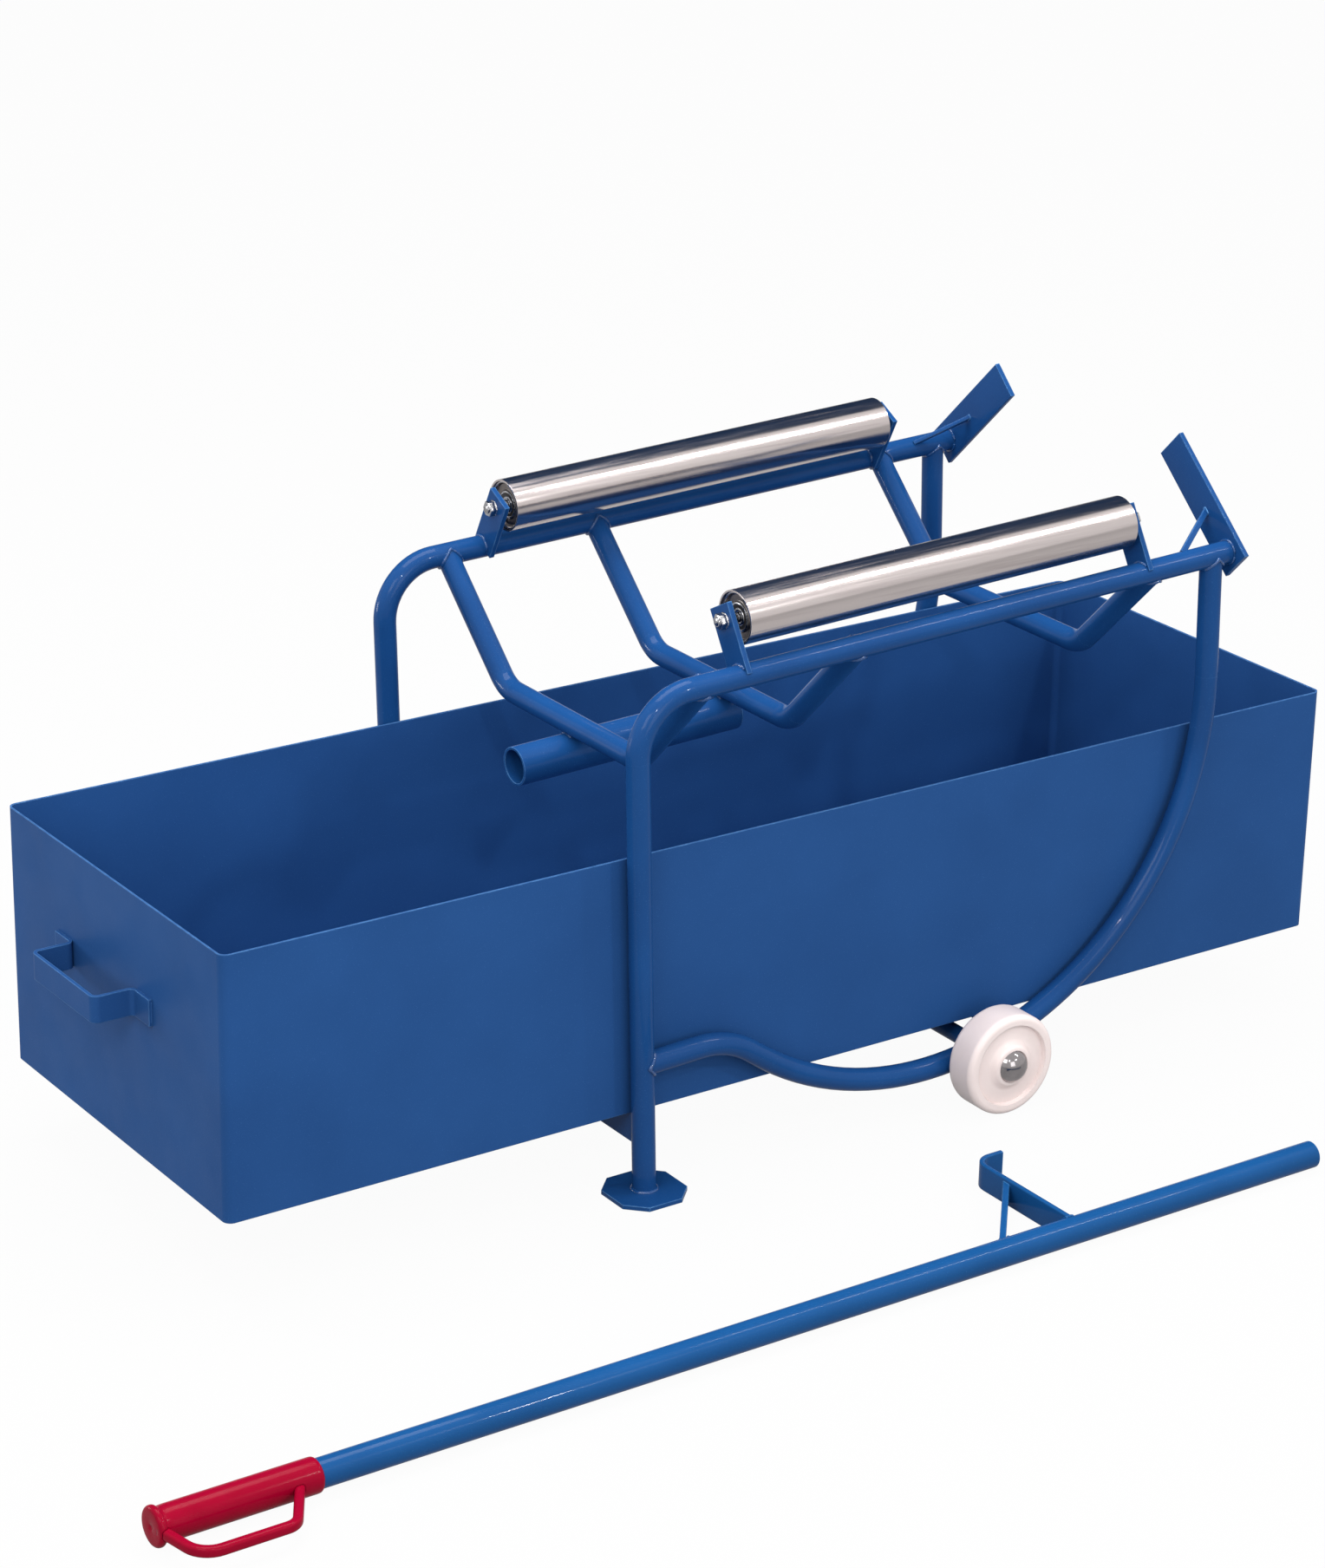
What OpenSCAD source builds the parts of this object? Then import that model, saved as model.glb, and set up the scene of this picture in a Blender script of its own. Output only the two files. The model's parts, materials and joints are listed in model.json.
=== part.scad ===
// Drum tipper: a rocking steel cradle with two rollers, two wheels, a loose
// collecting tray and a separate tipping lever. All lengths are in millimetres.
// The floor is z = 0, the rollers lie along x with the outlet end towards -x,
// and the near side is -y.

/* [Frame tubes] */
// Outside diameter of the frame tubes
tube_d = 26; // [20:0.5:34]
// Wall of the frame tubes
tube_wall = 2.5; // [1.5:0.5:4]
// Distance between the axes of the two side frames
frame_w = 512; // [480:2:600]
// Height of the rail axis above the floor at the front leg
rail_z = 567; // [530:1:640]
// Distance from the front leg axis to the rear end of the rail
rail_len = 802; // [780:2:900]
// Bend radius between the front leg and the rail
leg_bend_r = 65; // [40:1:80]
// Fall of the whole cradle towards the outlet end, in degrees
drum_slope = 2; // [0:0.1:3]

// How far welded tube ends stop short of the axis of the tube they meet
weld_short = 1; // [0.5:0.5:4]

/* [Feet] */
// Width of the foot plates
foot_w = 84; // [60:1:120]
// Length of the cut corners of the foot plates along each side
foot_cut = 21; // [5:1:28]
// Thickness of the foot plates
foot_t = 5; // [3:0.5:10]

/* [Rockers] */
// Distance from the front leg axis to the upright stretch of the rocker
rocker_rear_x = 778; // [740:1:790]
// Radius of the rocking arc, to the tube axis
rocker_r = 386; // [360:1:390]
// Angle that the rocker climbs in front of its lowest point, in degrees
rocker_climb = 36.3; // [34:0.1:42]
// Radius of the reverse bend in front of the climb
rocker_top_r = 105; // [60:1:110]
// Height at which the rocker meets the front leg
rocker_join_z = 153; // [153:1:200]

/* [Cradle tubes] */
// Places of the three cradle tubes along the rail, from the front leg axis
cradle_x1 = 84; // [80:1:110]
cradle_x2 = 284; // [230:1:340]
cradle_x3 = 694; // [640:1:720]
// Height of the level stretch of the cradle tubes
cradle_z = 443; // [430:1:470]
// Angle of the cradle tube arms above level, in degrees
cradle_arm = 45; // [35:1:60]
// Bend radius of the cradle tubes
cradle_bend_r = 42; // [30:1:60]

/* [Lever socket] */
// Outside diameter of the socket tube
socket_d = 44; // [38:0.5:50]
// Bore of the socket tube
socket_bore = 38; // [33:0.5:40]
// Length of the socket tube
socket_len = 290; // [260:1:340]
// Distance from the front leg axis to the mouth of the socket
socket_x = 8; // [-20:1:20]
// How far the socket tube is let into the cradle tubes for its weld
socket_let_in = 2; // [1:0.5:4]

/* [Wheels] */
// Diameter of the wheels
wheel_d = 120; // [112:1:125]
// Width of the wheels
wheel_w = 42; // [30:1:50]
// Radius of the rounded tread edges
wheel_edge_r = 7; // [3:0.5:10]
// Radius at which the recessed web starts inside the rim
wheel_rim_r = 48; // [40:0.5:50]
// Thickness of the web
web_t = 18; // [10:1:26]
// Radius of the hub
hub_r = 23; // [18:0.5:28]
// How far the hub ends are set back from the wheel faces
hub_set = 6; // [0:0.5:8]
// Distance from the front leg axis to the wheel axle along the floor
axle_x = 457; // [440:1:480]
// Diameter of the wheel axle
axle_d = 20; // [16:0.5:22]
// Thickness of the washers between rocker and wheel
washer_t = 4; // [2:0.5:8]
// Diameter of the washers
washer_d = 36; // [30:1:44]
// Diameter of the domed hub caps
cap_d = 36; // [32:0.5:44]
// Height of the dome of the hub caps
cap_h = 9; // [6:0.5:12]
// Thickness of the hub caps
cap_t = 1.5; // [1:0.5:2]

/* [Rollers] */
// Diameter of the rollers
roller_d = 60; // [40:1:64]
// Wall of the roller shells
roller_wall = 2; // [1.5:0.5:3]
// Length of the roller shells
roller_len = 524; // [400:2:530]
// Distance from the front leg axis to the front end of the rollers
roller_x = 144; // [142:1:150]
// Distance between the axes of the two rollers
roller_gap = 454; // [420:2:480]
// Height of the roller axes in the cradle
roller_z = 621; // [615:1:640]
// Diameter of the roller axles
roller_axle_d = 10; // [8:0.5:14]
// Outside diameter of the roller bearings
bearing_d = 32; // [26:1:36]
// Width of the roller bearings
bearing_w = 10; // [6:1:14]
// How far the bearing housings are set back from the shell ends
housing_inset = 3; // [1:0.5:8]
// Sheet thickness of the bearing housings
housing_t = 2.5; // [1.5:0.5:4]

/* [Roller brackets] */
// Width of the bracket bars
bracket_w = 35; // [30:1:45]
// How far the middle of the bracket bars lies inside the roller axles
bracket_shift = 2.5; // [0:0.5:6]
// Thickness of the bracket bars
bracket_t = 6; // [4:0.5:8]
// Height of the bracket bars above the roller axes, along the bar
bracket_top = 17; // [12:1:24]
// Space between bracket and roller shell
bracket_gap = 8; // [7:0.5:14]
// Width of the axle nuts across their flats
nut_w = 16; // [16:0.5:24]
// Height of the axle nuts
nut_h = 8; // [6:0.5:12]
// Height of the thin lock nuts behind the brackets
lock_nut_h = 5; // [3:0.5:6]
// How far the roller axles stick out of their nuts
axle_stub = 2; // [1:0.5:6]

/* [End stops] */
// Width of the stop bars
stop_w = 45; // [30:1:60]
// Thickness of the stop bars
stop_t = 6; // [4:0.5:10]
// Length of the stop bars
stop_len = 165; // [120:1:200]
// How far the stop bars pass the rail axis at their foot
stop_foot = 20; // [15:1:30]
// Angle of the stop bars above level, in degrees
stop_angle = 44; // [35:1:55]
// Thickness of the braces behind the stop bars
brace_t = 5; // [3:0.5:8]
// Width of the braces
brace_w = 14; // [8:1:24]
// Distance from the brace foot to the stop bar along the rail
brace_run = 60; // [40:1:90]
// Height of the brace on the stop bar, from the rail axis
brace_rise = 56; // [40:1:90]
// Least distance between the brace and the roller bracket in front of it
brace_clear = 4; // [2:0.5:20]

/* [Tray rests] */
// Thickness of the flat bars that the tray rests on
rest_t = 8; // [4:0.5:12]
// Height of the front rest bar
rest_front_h = 35; // [20:1:45]
// Height of the rear rest bar
rest_rear_h = 28; // [16:1:32]
// Distance from the front leg axis to the rear rest bar
rest_rear_x = 500; // [485:1:530]

/* [Tray] */
// Length of the tray
tray_len = 1460; // [1200:5:1600]
// Sheet thickness of the tray
tray_t = 2; // [1.5:0.5:4]
// Corner radius of the tray, outside
tray_corner_r = 10; // [5:1:30]
// Height of the tray above the floor
tray_z = 90.5; // [86:0.5:110]
// Distance from the front leg axis to the front wall of the tray
tray_front = 500; // [300:5:560]

/* [Tray handle] */
// Length of the grip bar of the handle
handle_len = 142; // [110:1:200]
// Depth of the handle in front of the tray
handle_depth = 50; // [35:1:70]
// Height of the handle strap
handle_h = 30; // [20:1:40]
// Thickness of the handle strap
handle_t = 4; // [3:0.5:6]
// Length of the welded feet of the handle
handle_foot = 30; // [15:1:45]
// Place of the handle across the tray
handle_y = 18; // [-60:1:60]
// Height of the handle centre above the tray bottom
handle_z = 178; // [100:1:220]
// Inside bend radius of the handle strap
handle_bend_r = 5; // [2:0.5:10]

/* [Lever] */
// Outside diameter of the lever tube
lever_d = 30; // [26:0.5:32]
// Wall of the lever tube
lever_wall = 2.5; // [1.5:0.5:4]
// Length of the lever from grip end to tube end
lever_len = 1438; // [1100:2:1600]
// Distance from the front leg axis to the free end of the lever
lever_end_x = 655; // [500:1:800]
// Distance of the lever's grip end from the middle of the tipper
lever_y = 608; // [560:1:700]
// Angle that the loose lever lies askew, in degrees
lever_askew = 0.5; // [0:0.1:2]

/* [Lever hook] */
// Height of the hook bar
hook_h = 30; // [20:1:38]
// Thickness of the hook and brace bars
hook_t = 6; // [4:0.5:8]
// Distance from the free end of the lever to the hook
hook_from_end = 343; // [250:1:450]
// Reach of the hook from the lever axis
hook_reach = 169; // [150:1:200]
// Length of the turned end of the hook
hook_toe = 40; // [25:1:60]
// Outside bend radius of the hook
hook_bend_r = 12; // [8:1:20]
// Distance of the brace end on the hook from the lever axis
hook_brace_y = 110; // [80:1:140]
// Distance of the brace foot on the lever from the hook
hook_brace_x = 92; // [60:1:140]
// Height of the brace bar
hook_brace_h = 22; // [12:1:30]

/* [Lever grip] */
// Length of the grip
grip_len = 176; // [155:1:220]
// Outside diameter of the grip
grip_d = 36; // [33:0.5:40]
// Diameter of the end flange of the grip
grip_flange_d = 41; // [38:0.5:50]
// Thickness of the end flange
grip_flange_t = 8; // [4:0.5:14]
// Thickness of the closed end of the grip
grip_end_t = 6; // [3:0.5:10]
// Width of the hand guard's bar
guard_t = 12; // [8:0.5:16]
// Height of the hand guard's bar
guard_h = 11; // [8:0.5:16]
// Distance from the lever axis to the hand guard
guard_reach = 68; // [55:1:80]
// Distance from the grip end to the front corner of the hand guard
guard_start = 16; // [14:1:24]
// Length of the level stretch of the hand guard
guard_len = 100; // [70:1:104]
// Distance over which the hand guard comes back to the grip
guard_back = 36; // [20:1:42]

/* [Clearances] */
// Running clearance on the radius of wheels and roller bearings
run_gap = 0.05; // [0.02:0.01:0.1]
// End play beside wheels and hub caps
end_gap = 0.5; // [0.3:0.1:1.5]
// Space between the tray's long walls and the rocker tubes
tray_side_gap = 4; // [2:0.5:30]
// Space between the tray's rim and the socket tube above it
tray_rim_gap = 0.5; // [0.5:0.5:60]

/* [Hidden] */
$fn = 48;
far_n = 96;

blue = [0.15, 0.33, 0.56];
lever_blue = [0.13, 0.37, 0.65];
red = [0.75, 0.06, 0.20];
nylon = [0.88, 0.85, 0.85];
zinc = [0.70, 0.71, 0.73];

tube_r = tube_d / 2;
frame_y = frame_w / 2;
over = 1;
// A bent stretch of tube is a trace thicker than the straight ones it joins.
bend_swell = 0.02;

// The rocking arc passes through the wheel axle, which stands one wheel radius
// above the floor, so its centre follows from the axle and the upright stretch.
axle_z = wheel_d / 2;
axle_in_x = axle_x * cos(drum_slope) + axle_z * sin(drum_slope);
axle_in_z = axle_z * cos(drum_slope) - axle_x * sin(drum_slope);
arc_x = rocker_rear_x - rocker_r;
arc_z = axle_in_z + sqrt(pow(rocker_r, 2) - pow(axle_in_x - arc_x, 2));

// Straight stretch of the climb, and the ends of the bends around it.
climb_len = (rocker_join_z - arc_z + rocker_r * cos(rocker_climb)
             - rocker_top_r * (1 - cos(rocker_climb))) / sin(rocker_climb);
climb_x = arc_x - rocker_r * sin(rocker_climb);
climb_z = arc_z - rocker_r * cos(rocker_climb);
top_x = climb_x - climb_len * cos(rocker_climb) - rocker_top_r * sin(rocker_climb);

// Level stretch of the cradle tubes ends where the arms turn up to the rails.
cradle_rise = rail_z - cradle_z;
cradle_y = frame_y - cradle_rise / tan(cradle_arm);
cradle_cut = cradle_bend_r * tan(cradle_arm / 2);

socket_r = socket_d / 2;
socket_z = cradle_z - tube_r - socket_r + socket_let_in;

wheel_in = frame_y + tube_r + washer_t + end_gap;
wheel_out = wheel_in + wheel_w;
cap_base = wheel_out - hub_set + end_gap;
axle_end = cap_base + cap_h - cap_t - over;

roller_y = roller_gap / 2;
roller_r = roller_d / 2;
roller_end = roller_x + roller_len;
bracket_x1 = roller_x - bracket_gap - bracket_t;
bracket_x2 = roller_end + bracket_gap;

// The brace stands on the rail between the roller bracket and the stop bar.
brace_foot = max(rail_len - brace_run - brace_w, bracket_x2 + bracket_t + brace_clear);

// The tray slides between the side frames and under the socket tube.
socket_low = socket_x * sin(drum_slope) + (socket_z - socket_r) * cos(drum_slope);
tray_w = frame_w - tube_d - 2 * tray_side_gap;
tray_h = socket_low - tray_rim_gap - tray_z;
// The lever rests on the rim of its grip flange and on its free end.
lever_r = lever_d / 2;
lever_dip = asin((grip_flange_d / 2 - lever_r) / lever_len);
lever_z = grip_flange_d / 2 * cos(lever_dip) + grip_flange_t * sin(lever_dip);
grip_x = lever_end_x - lever_len;
hook_x = lever_end_x - hook_from_end;

// Middle line of the hand guard, measured from the grip's end on the lever axis.
guard_root = (guard_t - grip_d) / 2;
guard_turns = [
    [grip_flange_t / 2, guard_root], [guard_start, -guard_reach],
    [guard_start + guard_len, -guard_reach], [guard_start + guard_len + guard_back, guard_root]
];
guard_tip = path_edge(guard_turns, -guard_t / 2)[1];

// The row's own origin: the middle of the whole object's outline on the floor.
low_x = min(grip_x - grip_flange_d / 2 * sin(lever_askew), -tray_front - handle_depth);
high_x = max(tray_len - tray_front, lever_end_x);
low_y = -lever_y + guard_tip[0] * sin(lever_askew) + guard_tip[1] * cos(lever_askew);
high_y = cap_base + cap_h;
mid_x = (low_x + high_x) / 2;
mid_y = (low_y + high_y) / 2;

function arc_points(c, r, a0, a1, n = 8) =
    [for (i = [0:n]) let (a = a0 + (a1 - a0) * i / n) [c[0] + r * cos(a), c[1] + r * sin(a)]];

// Moves the tipper so that the row's origin is under its middle.
module placed() {
    translate([-mid_x, -mid_y, 0]) children();
}

// Tips the cradle towards its outlet end, about the foot of the front legs.
module sloped() {
    placed() rotate([0, -drum_slope, 0]) children();
}

// Mirrors a near piece to the far side.
module far_side() {
    mirror([0, 1, 0]) children();
}

// Straight stretch of a round bar along +x. What follows starts at its end.
module straight(len, r) {
    rotate([0, 90, 0]) cylinder(h = len, r = r);
    translate([len, 0, 0]) children();
}

// Block as large as a bend, on the side of the plane x = 0 that side gives.
module half_space(bend_r, r, side) {
    big = bend_r + 2 * r;
    translate([side < 0 ? -big : 0, -big, -big]) cube([big, 2 * big, 2 * big]);
}

// Bend of a round bar from +x towards +z by angle a. What follows starts at its end.
module turn(bend_r, a, r, n = $fn) {
    translate([0, 0, bend_r]) {
        intersection() {
            rotate([90, 0, 0]) rotate_extrude($fn = n) translate([bend_r, 0])
                circle(r = r + bend_swell, $fn = $fn);
            half_space(bend_r, r, 1);
            rotate([0, -a, 0]) half_space(bend_r, r, -1);
        }
        rotate([0, -a, 0]) translate([0, 0, -bend_r]) children();
    }
}

// Leg, bend and rail of a side frame as one bar of radius r.
module side_path(r, past = 0) {
    low = foot_t + past;
    translate([0, -frame_y, -low]) rotate([0, -90, 0]) mirror([0, 0, 1])
        straight(rail_z - leg_bend_r + low, r)
            turn(leg_bend_r, 90, r) straight(rail_len - leg_bend_r + past, r);
}

// Rocker tube from the front leg down, round the arc and up to the rail.
module rocker_path(r, past = 0) {
    start = weld_short - past;
    translate([start, -frame_y, rocker_join_z]) mirror([0, 0, 1])
        straight(top_x - start, r) turn(rocker_top_r, rocker_climb, r)
            straight(climb_len, r) mirror([0, 0, 1])
                turn(rocker_r, rocker_climb + 90, r, far_n)
                    straight(rail_z - arc_z - weld_short + past, r);
}

// Cradle tube across the rails: level in the middle, an arm up to each rail.
module cradle_path(x, r, past = 0) {
    flat = cradle_y - cradle_cut;
    arm = cradle_rise / sin(cradle_arm) - cradle_cut - weld_short + past;
    translate([x, -flat, cradle_z]) rotate([0, 0, 90])
        straight(2 * flat, r) turn(cradle_bend_r, cradle_arm, r) straight(arm, r);
    translate([x, -flat, cradle_z]) rotate([0, 0, -90])
        turn(cradle_bend_r, cradle_arm, r) straight(arm, r);
}

module side_frame_near() {
    color(blue) placed() difference() {
        rotate([0, -drum_slope, 0]) side_path(tube_r);
        rotate([0, -drum_slope, 0]) side_path(tube_r - tube_wall, over);
        translate([-tube_d, -frame_y - tube_d, foot_t - 2 * tube_d])
            cube([2 * tube_d, 2 * tube_d, 2 * tube_d]);
    }
}

module side_frame_far() {
    color(blue) placed() far_side() difference() {
        rotate([0, -drum_slope, 0]) side_path(tube_r);
        rotate([0, -drum_slope, 0]) side_path(tube_r - tube_wall, over);
        translate([-tube_d, -frame_y - tube_d, foot_t - 2 * tube_d])
            cube([2 * tube_d, 2 * tube_d, 2 * tube_d]);
    }
}

// Square plate with cut corners, centred under a leg.
module foot_plate() {
    h = foot_w / 2;
    c = h - foot_cut;
    translate([0, -frame_y, 0]) linear_extrude(foot_t)
        polygon([[-h, -c], [-c, -h], [c, -h], [h, -c], [h, c], [c, h], [-c, h], [-h, c]]);
}

module foot_near() {
    color(blue) placed() foot_plate();
}

module foot_far() {
    color(blue) placed() far_side() foot_plate();
}

// Rocker tube fitted round the rail, the leg and the wheel axle.
module rocker() {
    difference() {
        rocker_path(tube_r);
        rocker_path(tube_r - tube_wall, over);
        side_path(tube_r);
        translate([axle_in_x, -frame_y, axle_in_z]) rotate([90, 0, 0])
            cylinder(h = 2 * tube_d, d = axle_d, center = true);
    }
}

module rocker_near() {
    color(blue) sloped() rocker();
}

module rocker_far() {
    color(blue) sloped() far_side() rocker();
}

// Cradle tube fitted against both rails.
module cradle_tube(x) {
    difference() {
        cradle_path(x, tube_r);
        cradle_path(x, tube_r - tube_wall, over);
        side_path(tube_r);
        far_side() side_path(tube_r);
    }
}

module cradle_front() {
    color(blue) sloped() cradle_tube(cradle_x1);
}

module cradle_mid() {
    color(blue) sloped() cradle_tube(cradle_x2);
}

module cradle_rear() {
    color(blue) sloped() cradle_tube(cradle_x3);
}

module lever_socket() {
    color(blue) sloped() difference() {
        translate([socket_x, 0, socket_z]) rotate([0, 90, 0]) cylinder(h = socket_len, r = socket_r);
        translate([socket_x - over, 0, socket_z]) rotate([0, 90, 0])
            cylinder(h = socket_len + 2 * over, d = socket_bore);
        for (x = [cradle_x1, cradle_x2]) cradle_path(x, tube_r);
    }
}

// Flat bar on edge between the side frames, its top under the tray.
module tray_rest(x, h) {
    translate([x - rest_t / 2, -frame_y, tray_z - h]) cube([rest_t, frame_w, h]);
}

module tray_rest_front() {
    color(blue) placed() difference() {
        tray_rest(-(tray_z - rest_front_h / 2) * tan(drum_slope), rest_front_h);
        rotate([0, -drum_slope, 0]) side_path(tube_r);
        rotate([0, -drum_slope, 0]) far_side() side_path(tube_r);
    }
}

module tray_rest_rear() {
    color(blue) placed() difference() {
        tray_rest(rest_rear_x, rest_rear_h);
        rotate([0, -drum_slope, 0]) rocker_path(tube_r);
        rotate([0, -drum_slope, 0]) far_side() rocker_path(tube_r);
    }
}

// Stop bar across the rail end, with its brace down to the rail.
module stop() {
    difference() {
        translate([0, -frame_y, rail_z]) rotate([stop_angle - 90, 0, 0]) {
            translate([rail_len, -stop_w / 2, -stop_foot]) cube([stop_t, stop_w, stop_len]);
            rotate([90, 0, 0]) linear_extrude(brace_t, center = true) polygon([
                [brace_foot, 0], [brace_foot + brace_w, 0],
                [rail_len, brace_rise - brace_w], [rail_len + stop_t / 2, brace_rise - brace_w],
                [rail_len + stop_t / 2, brace_rise], [rail_len, brace_rise]
            ]);
        }
        side_path(tube_r);
    }
}

module stop_near() {
    color(blue) sloped() stop();
}

module stop_far() {
    color(blue) sloped() far_side() stop();
}

// Bracket bar from the rail up past the roller axle, leaning inwards.
module bracket(x) {
    lean = atan2(frame_y - roller_y, roller_z - rail_z);
    foot_len = norm([frame_y - roller_y, roller_z - rail_z]);
    difference() {
        translate([x, -roller_y, roller_z]) rotate([-lean, 0, 0])
            translate([0, bracket_shift - bracket_w / 2, -foot_len])
                cube([bracket_t, bracket_w, foot_len + bracket_top]);
        side_path(tube_r);
        translate([x - over, -roller_y, roller_z]) rotate([0, 90, 0])
            cylinder(h = bracket_t + 2 * over, d = roller_axle_d);
    }
}

module bracket_near_front() {
    color(blue) sloped() bracket(bracket_x1);
}

module bracket_near_rear() {
    color(blue) sloped() bracket(bracket_x2);
}

module bracket_far_front() {
    color(blue) sloped() far_side() bracket(bracket_x1);
}

module bracket_far_rear() {
    color(blue) sloped() far_side() bracket(bracket_x2);
}

// Fixed axle through both brackets and the roller.
module roller_axle() {
    x1 = bracket_x1 - nut_h - axle_stub;
    x2 = bracket_x2 + bracket_t + nut_h + axle_stub;
    translate([x1, -roller_y, roller_z]) rotate([0, 90, 0]) cylinder(h = x2 - x1, d = roller_axle_d);
}

module roller_axle_near() {
    color(zinc) sloped() roller_axle();
}

module roller_axle_far() {
    color(zinc) sloped() far_side() roller_axle();
}

// Hexagon nut of height h that starts at x.
module nut(x, h) {
    translate([x, -roller_y, roller_z]) rotate([0, 90, 0]) difference() {
        cylinder(h = h, d = nut_w / cos(30), $fn = 6);
        translate([0, 0, -over]) cylinder(h = h + 2 * over, d = roller_axle_d);
    }
}

module roller_nuts() {
    nut(bracket_x1 - nut_h, nut_h);
    nut(bracket_x1 + bracket_t, lock_nut_h);
    nut(bracket_x2 - lock_nut_h, lock_nut_h);
    nut(bracket_x2 + bracket_t, nut_h);
}

module roller_nuts_near() {
    color(zinc) sloped() roller_nuts();
}

module roller_nuts_far() {
    color(zinc) sloped() far_side() roller_nuts();
}

module roller_shell() {
    translate([roller_x, -roller_y, roller_z]) rotate([0, 90, 0]) difference() {
        cylinder(h = roller_len, r = roller_r);
        translate([0, 0, -over]) cylinder(h = roller_len + 2 * over, r = roller_r - roller_wall);
    }
}

module roller_shell_near() {
    color(zinc) sloped() roller_shell();
}

module roller_shell_far() {
    color(zinc) sloped() far_side() roller_shell();
}

// Bearing in its pressed sheet housing, set back inside one shell end.
module roller_bearing() {
    difference() {
        union() {
            cylinder(h = housing_t, r = roller_r - roller_wall);
            cylinder(h = bearing_w, d = bearing_d + 2 * housing_t);
            translate([0, 0, -housing_inset / 2]) cylinder(h = bearing_w, d = bearing_d - 8);
        }
        translate([0, 0, -housing_inset - over])
            cylinder(h = bearing_w + housing_inset + 3 * over, d = roller_axle_d + 2 * run_gap);
    }
}

module roller_bearings() {
    translate([roller_x + housing_inset, -roller_y, roller_z]) rotate([0, 90, 0]) roller_bearing();
    translate([roller_end - housing_inset, -roller_y, roller_z]) rotate([0, -90, 0]) roller_bearing();
}

module roller_bearings_near() {
    color(zinc) sloped() roller_bearings();
}

module roller_bearings_far() {
    color(zinc) sloped() far_side() roller_bearings();
}

module wheel_axle() {
    color(zinc) placed() translate([axle_x, -axle_end, axle_z]) rotate([-90, 0, 0])
        cylinder(h = 2 * axle_end, d = axle_d);
}

module axle_washers() {
    color(zinc) placed() for (s = [0, 1]) mirror([0, s, 0])
        translate([axle_x, frame_y + tube_r, axle_z]) rotate([-90, 0, 0]) difference() {
            cylinder(h = washer_t, d = washer_d);
            translate([0, 0, -over]) cylinder(h = washer_t + 2 * over, d = axle_d);
        }
}

// Half of the wheel's outline, from the hub end at height hub_h out to the tread.
function wheel_side(hub_h) = let (h = wheel_w / 2, w = web_t / 2, e = wheel_edge_r) concat(
    [[axle_d / 2 + run_gap, hub_h], [hub_r, hub_h], [hub_r + 3, w], [wheel_rim_r - 3, w], [wheel_rim_r, h]],
    arc_points([wheel_d / 2 - e, h - e], e, 90, 0)
);

// Nylon wheel with rounded tread edges, a recessed web and a raised hub.
module wheel() {
    h = wheel_w / 2;
    outside = wheel_side(h - hub_set);
    inside = wheel_side(h);
    translate([axle_x, -wheel_in - h, axle_z]) rotate([90, 0, 0]) rotate_extrude($fn = far_n)
        polygon(concat(outside, [for (i = [len(inside) - 1:-1:0]) [inside[i][0], -inside[i][1]]]));
}

module wheel_near() {
    color(nylon) placed() wheel();
}

module wheel_far() {
    color(nylon) placed() far_side() wheel();
}

// Domed cap pressed over the axle end beside the wheel.
module hub_cap() {
    r = cap_d / 2;
    dome_r = (r * r + cap_h * cap_h) / (2 * cap_h);
    a = acos((dome_r - cap_h) / dome_r);
    translate([axle_x, -cap_base, axle_z]) rotate([90, 0, 0]) difference() {
        rotate_extrude() polygon(concat([[0, 0]], arc_points([0, cap_h - dome_r], dome_r, 90 - a, 90)));
        translate([0, 0, -over]) cylinder(h = axle_end - cap_base + over, d = axle_d);
    }
}

module hub_cap_near() {
    color(zinc) placed() hub_cap();
}

module hub_cap_far() {
    color(zinc) placed() far_side() hub_cap();
}

// Rectangle with round corners, its first corner at the origin.
module rounded_plan(l, w, r) {
    translate([r, 0]) square([l - 2 * r, w]);
    translate([0, r]) square([l, w - 2 * r]);
    for (x = [r, l - r]) for (y = [r, w - r]) translate([x, y]) circle(r = r);
}

module tray_pan() {
    color(blue) placed() translate([-tray_front, -tray_w / 2, tray_z]) difference() {
        linear_extrude(tray_h) rounded_plan(tray_len, tray_w, tray_corner_r);
        translate([tray_t, tray_t, tray_t]) linear_extrude(tray_h)
            rounded_plan(tray_len - 2 * tray_t, tray_w - 2 * tray_t, tray_corner_r - tray_t);
    }
}

// Quarter bend of the handle strap seen from above: centre c, start angle a0.
module strap_bend(c, a0) {
    translate(c) rotate([0, 0, a0]) rotate_extrude(angle = 90)
        translate([handle_bend_r, -handle_h / 2]) square([handle_t, handle_h]);
}

// One half of the handle: half the grip bar, a leg and a welded foot.
module handle_half() {
    r = handle_bend_r;
    t = handle_t;
    d = handle_depth;
    half = handle_len / 2;
    translate([-d, 0, -handle_h / 2]) cube([t, half - r - t, handle_h]);
    strap_bend([-d + r + t, half - r - t, 0], 90);
    translate([-d + r + t, half - t, -handle_h / 2]) cube([d - 2 * (r + t), t, handle_h]);
    strap_bend([-r - t, half + r, 0], 270);
    translate([-t, half + r, -handle_h / 2]) cube([t, handle_foot, handle_h]);
}

module tray_handle() {
    color(blue) placed() translate([-tray_front, handle_y, tray_z + handle_z]) {
        handle_half();
        mirror([0, 1, 0]) handle_half();
    }
}

// Puts a lever piece, drawn with its axis along x, where it lies on the floor.
module on_lever() {
    placed() translate([grip_x, -lever_y, lever_z]) rotate([0, lever_dip, lever_askew])
        translate([-grip_x, 0, 0]) children();
}

// Lever tube of radius r from the closed grip end to its free end.
module lever_bar(r, past = 0) {
    start = grip_x + grip_end_t;
    translate([start - past, 0, 0]) rotate([0, 90, 0])
        cylinder(h = lever_end_x - start + 2 * past, r = r);
}

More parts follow.
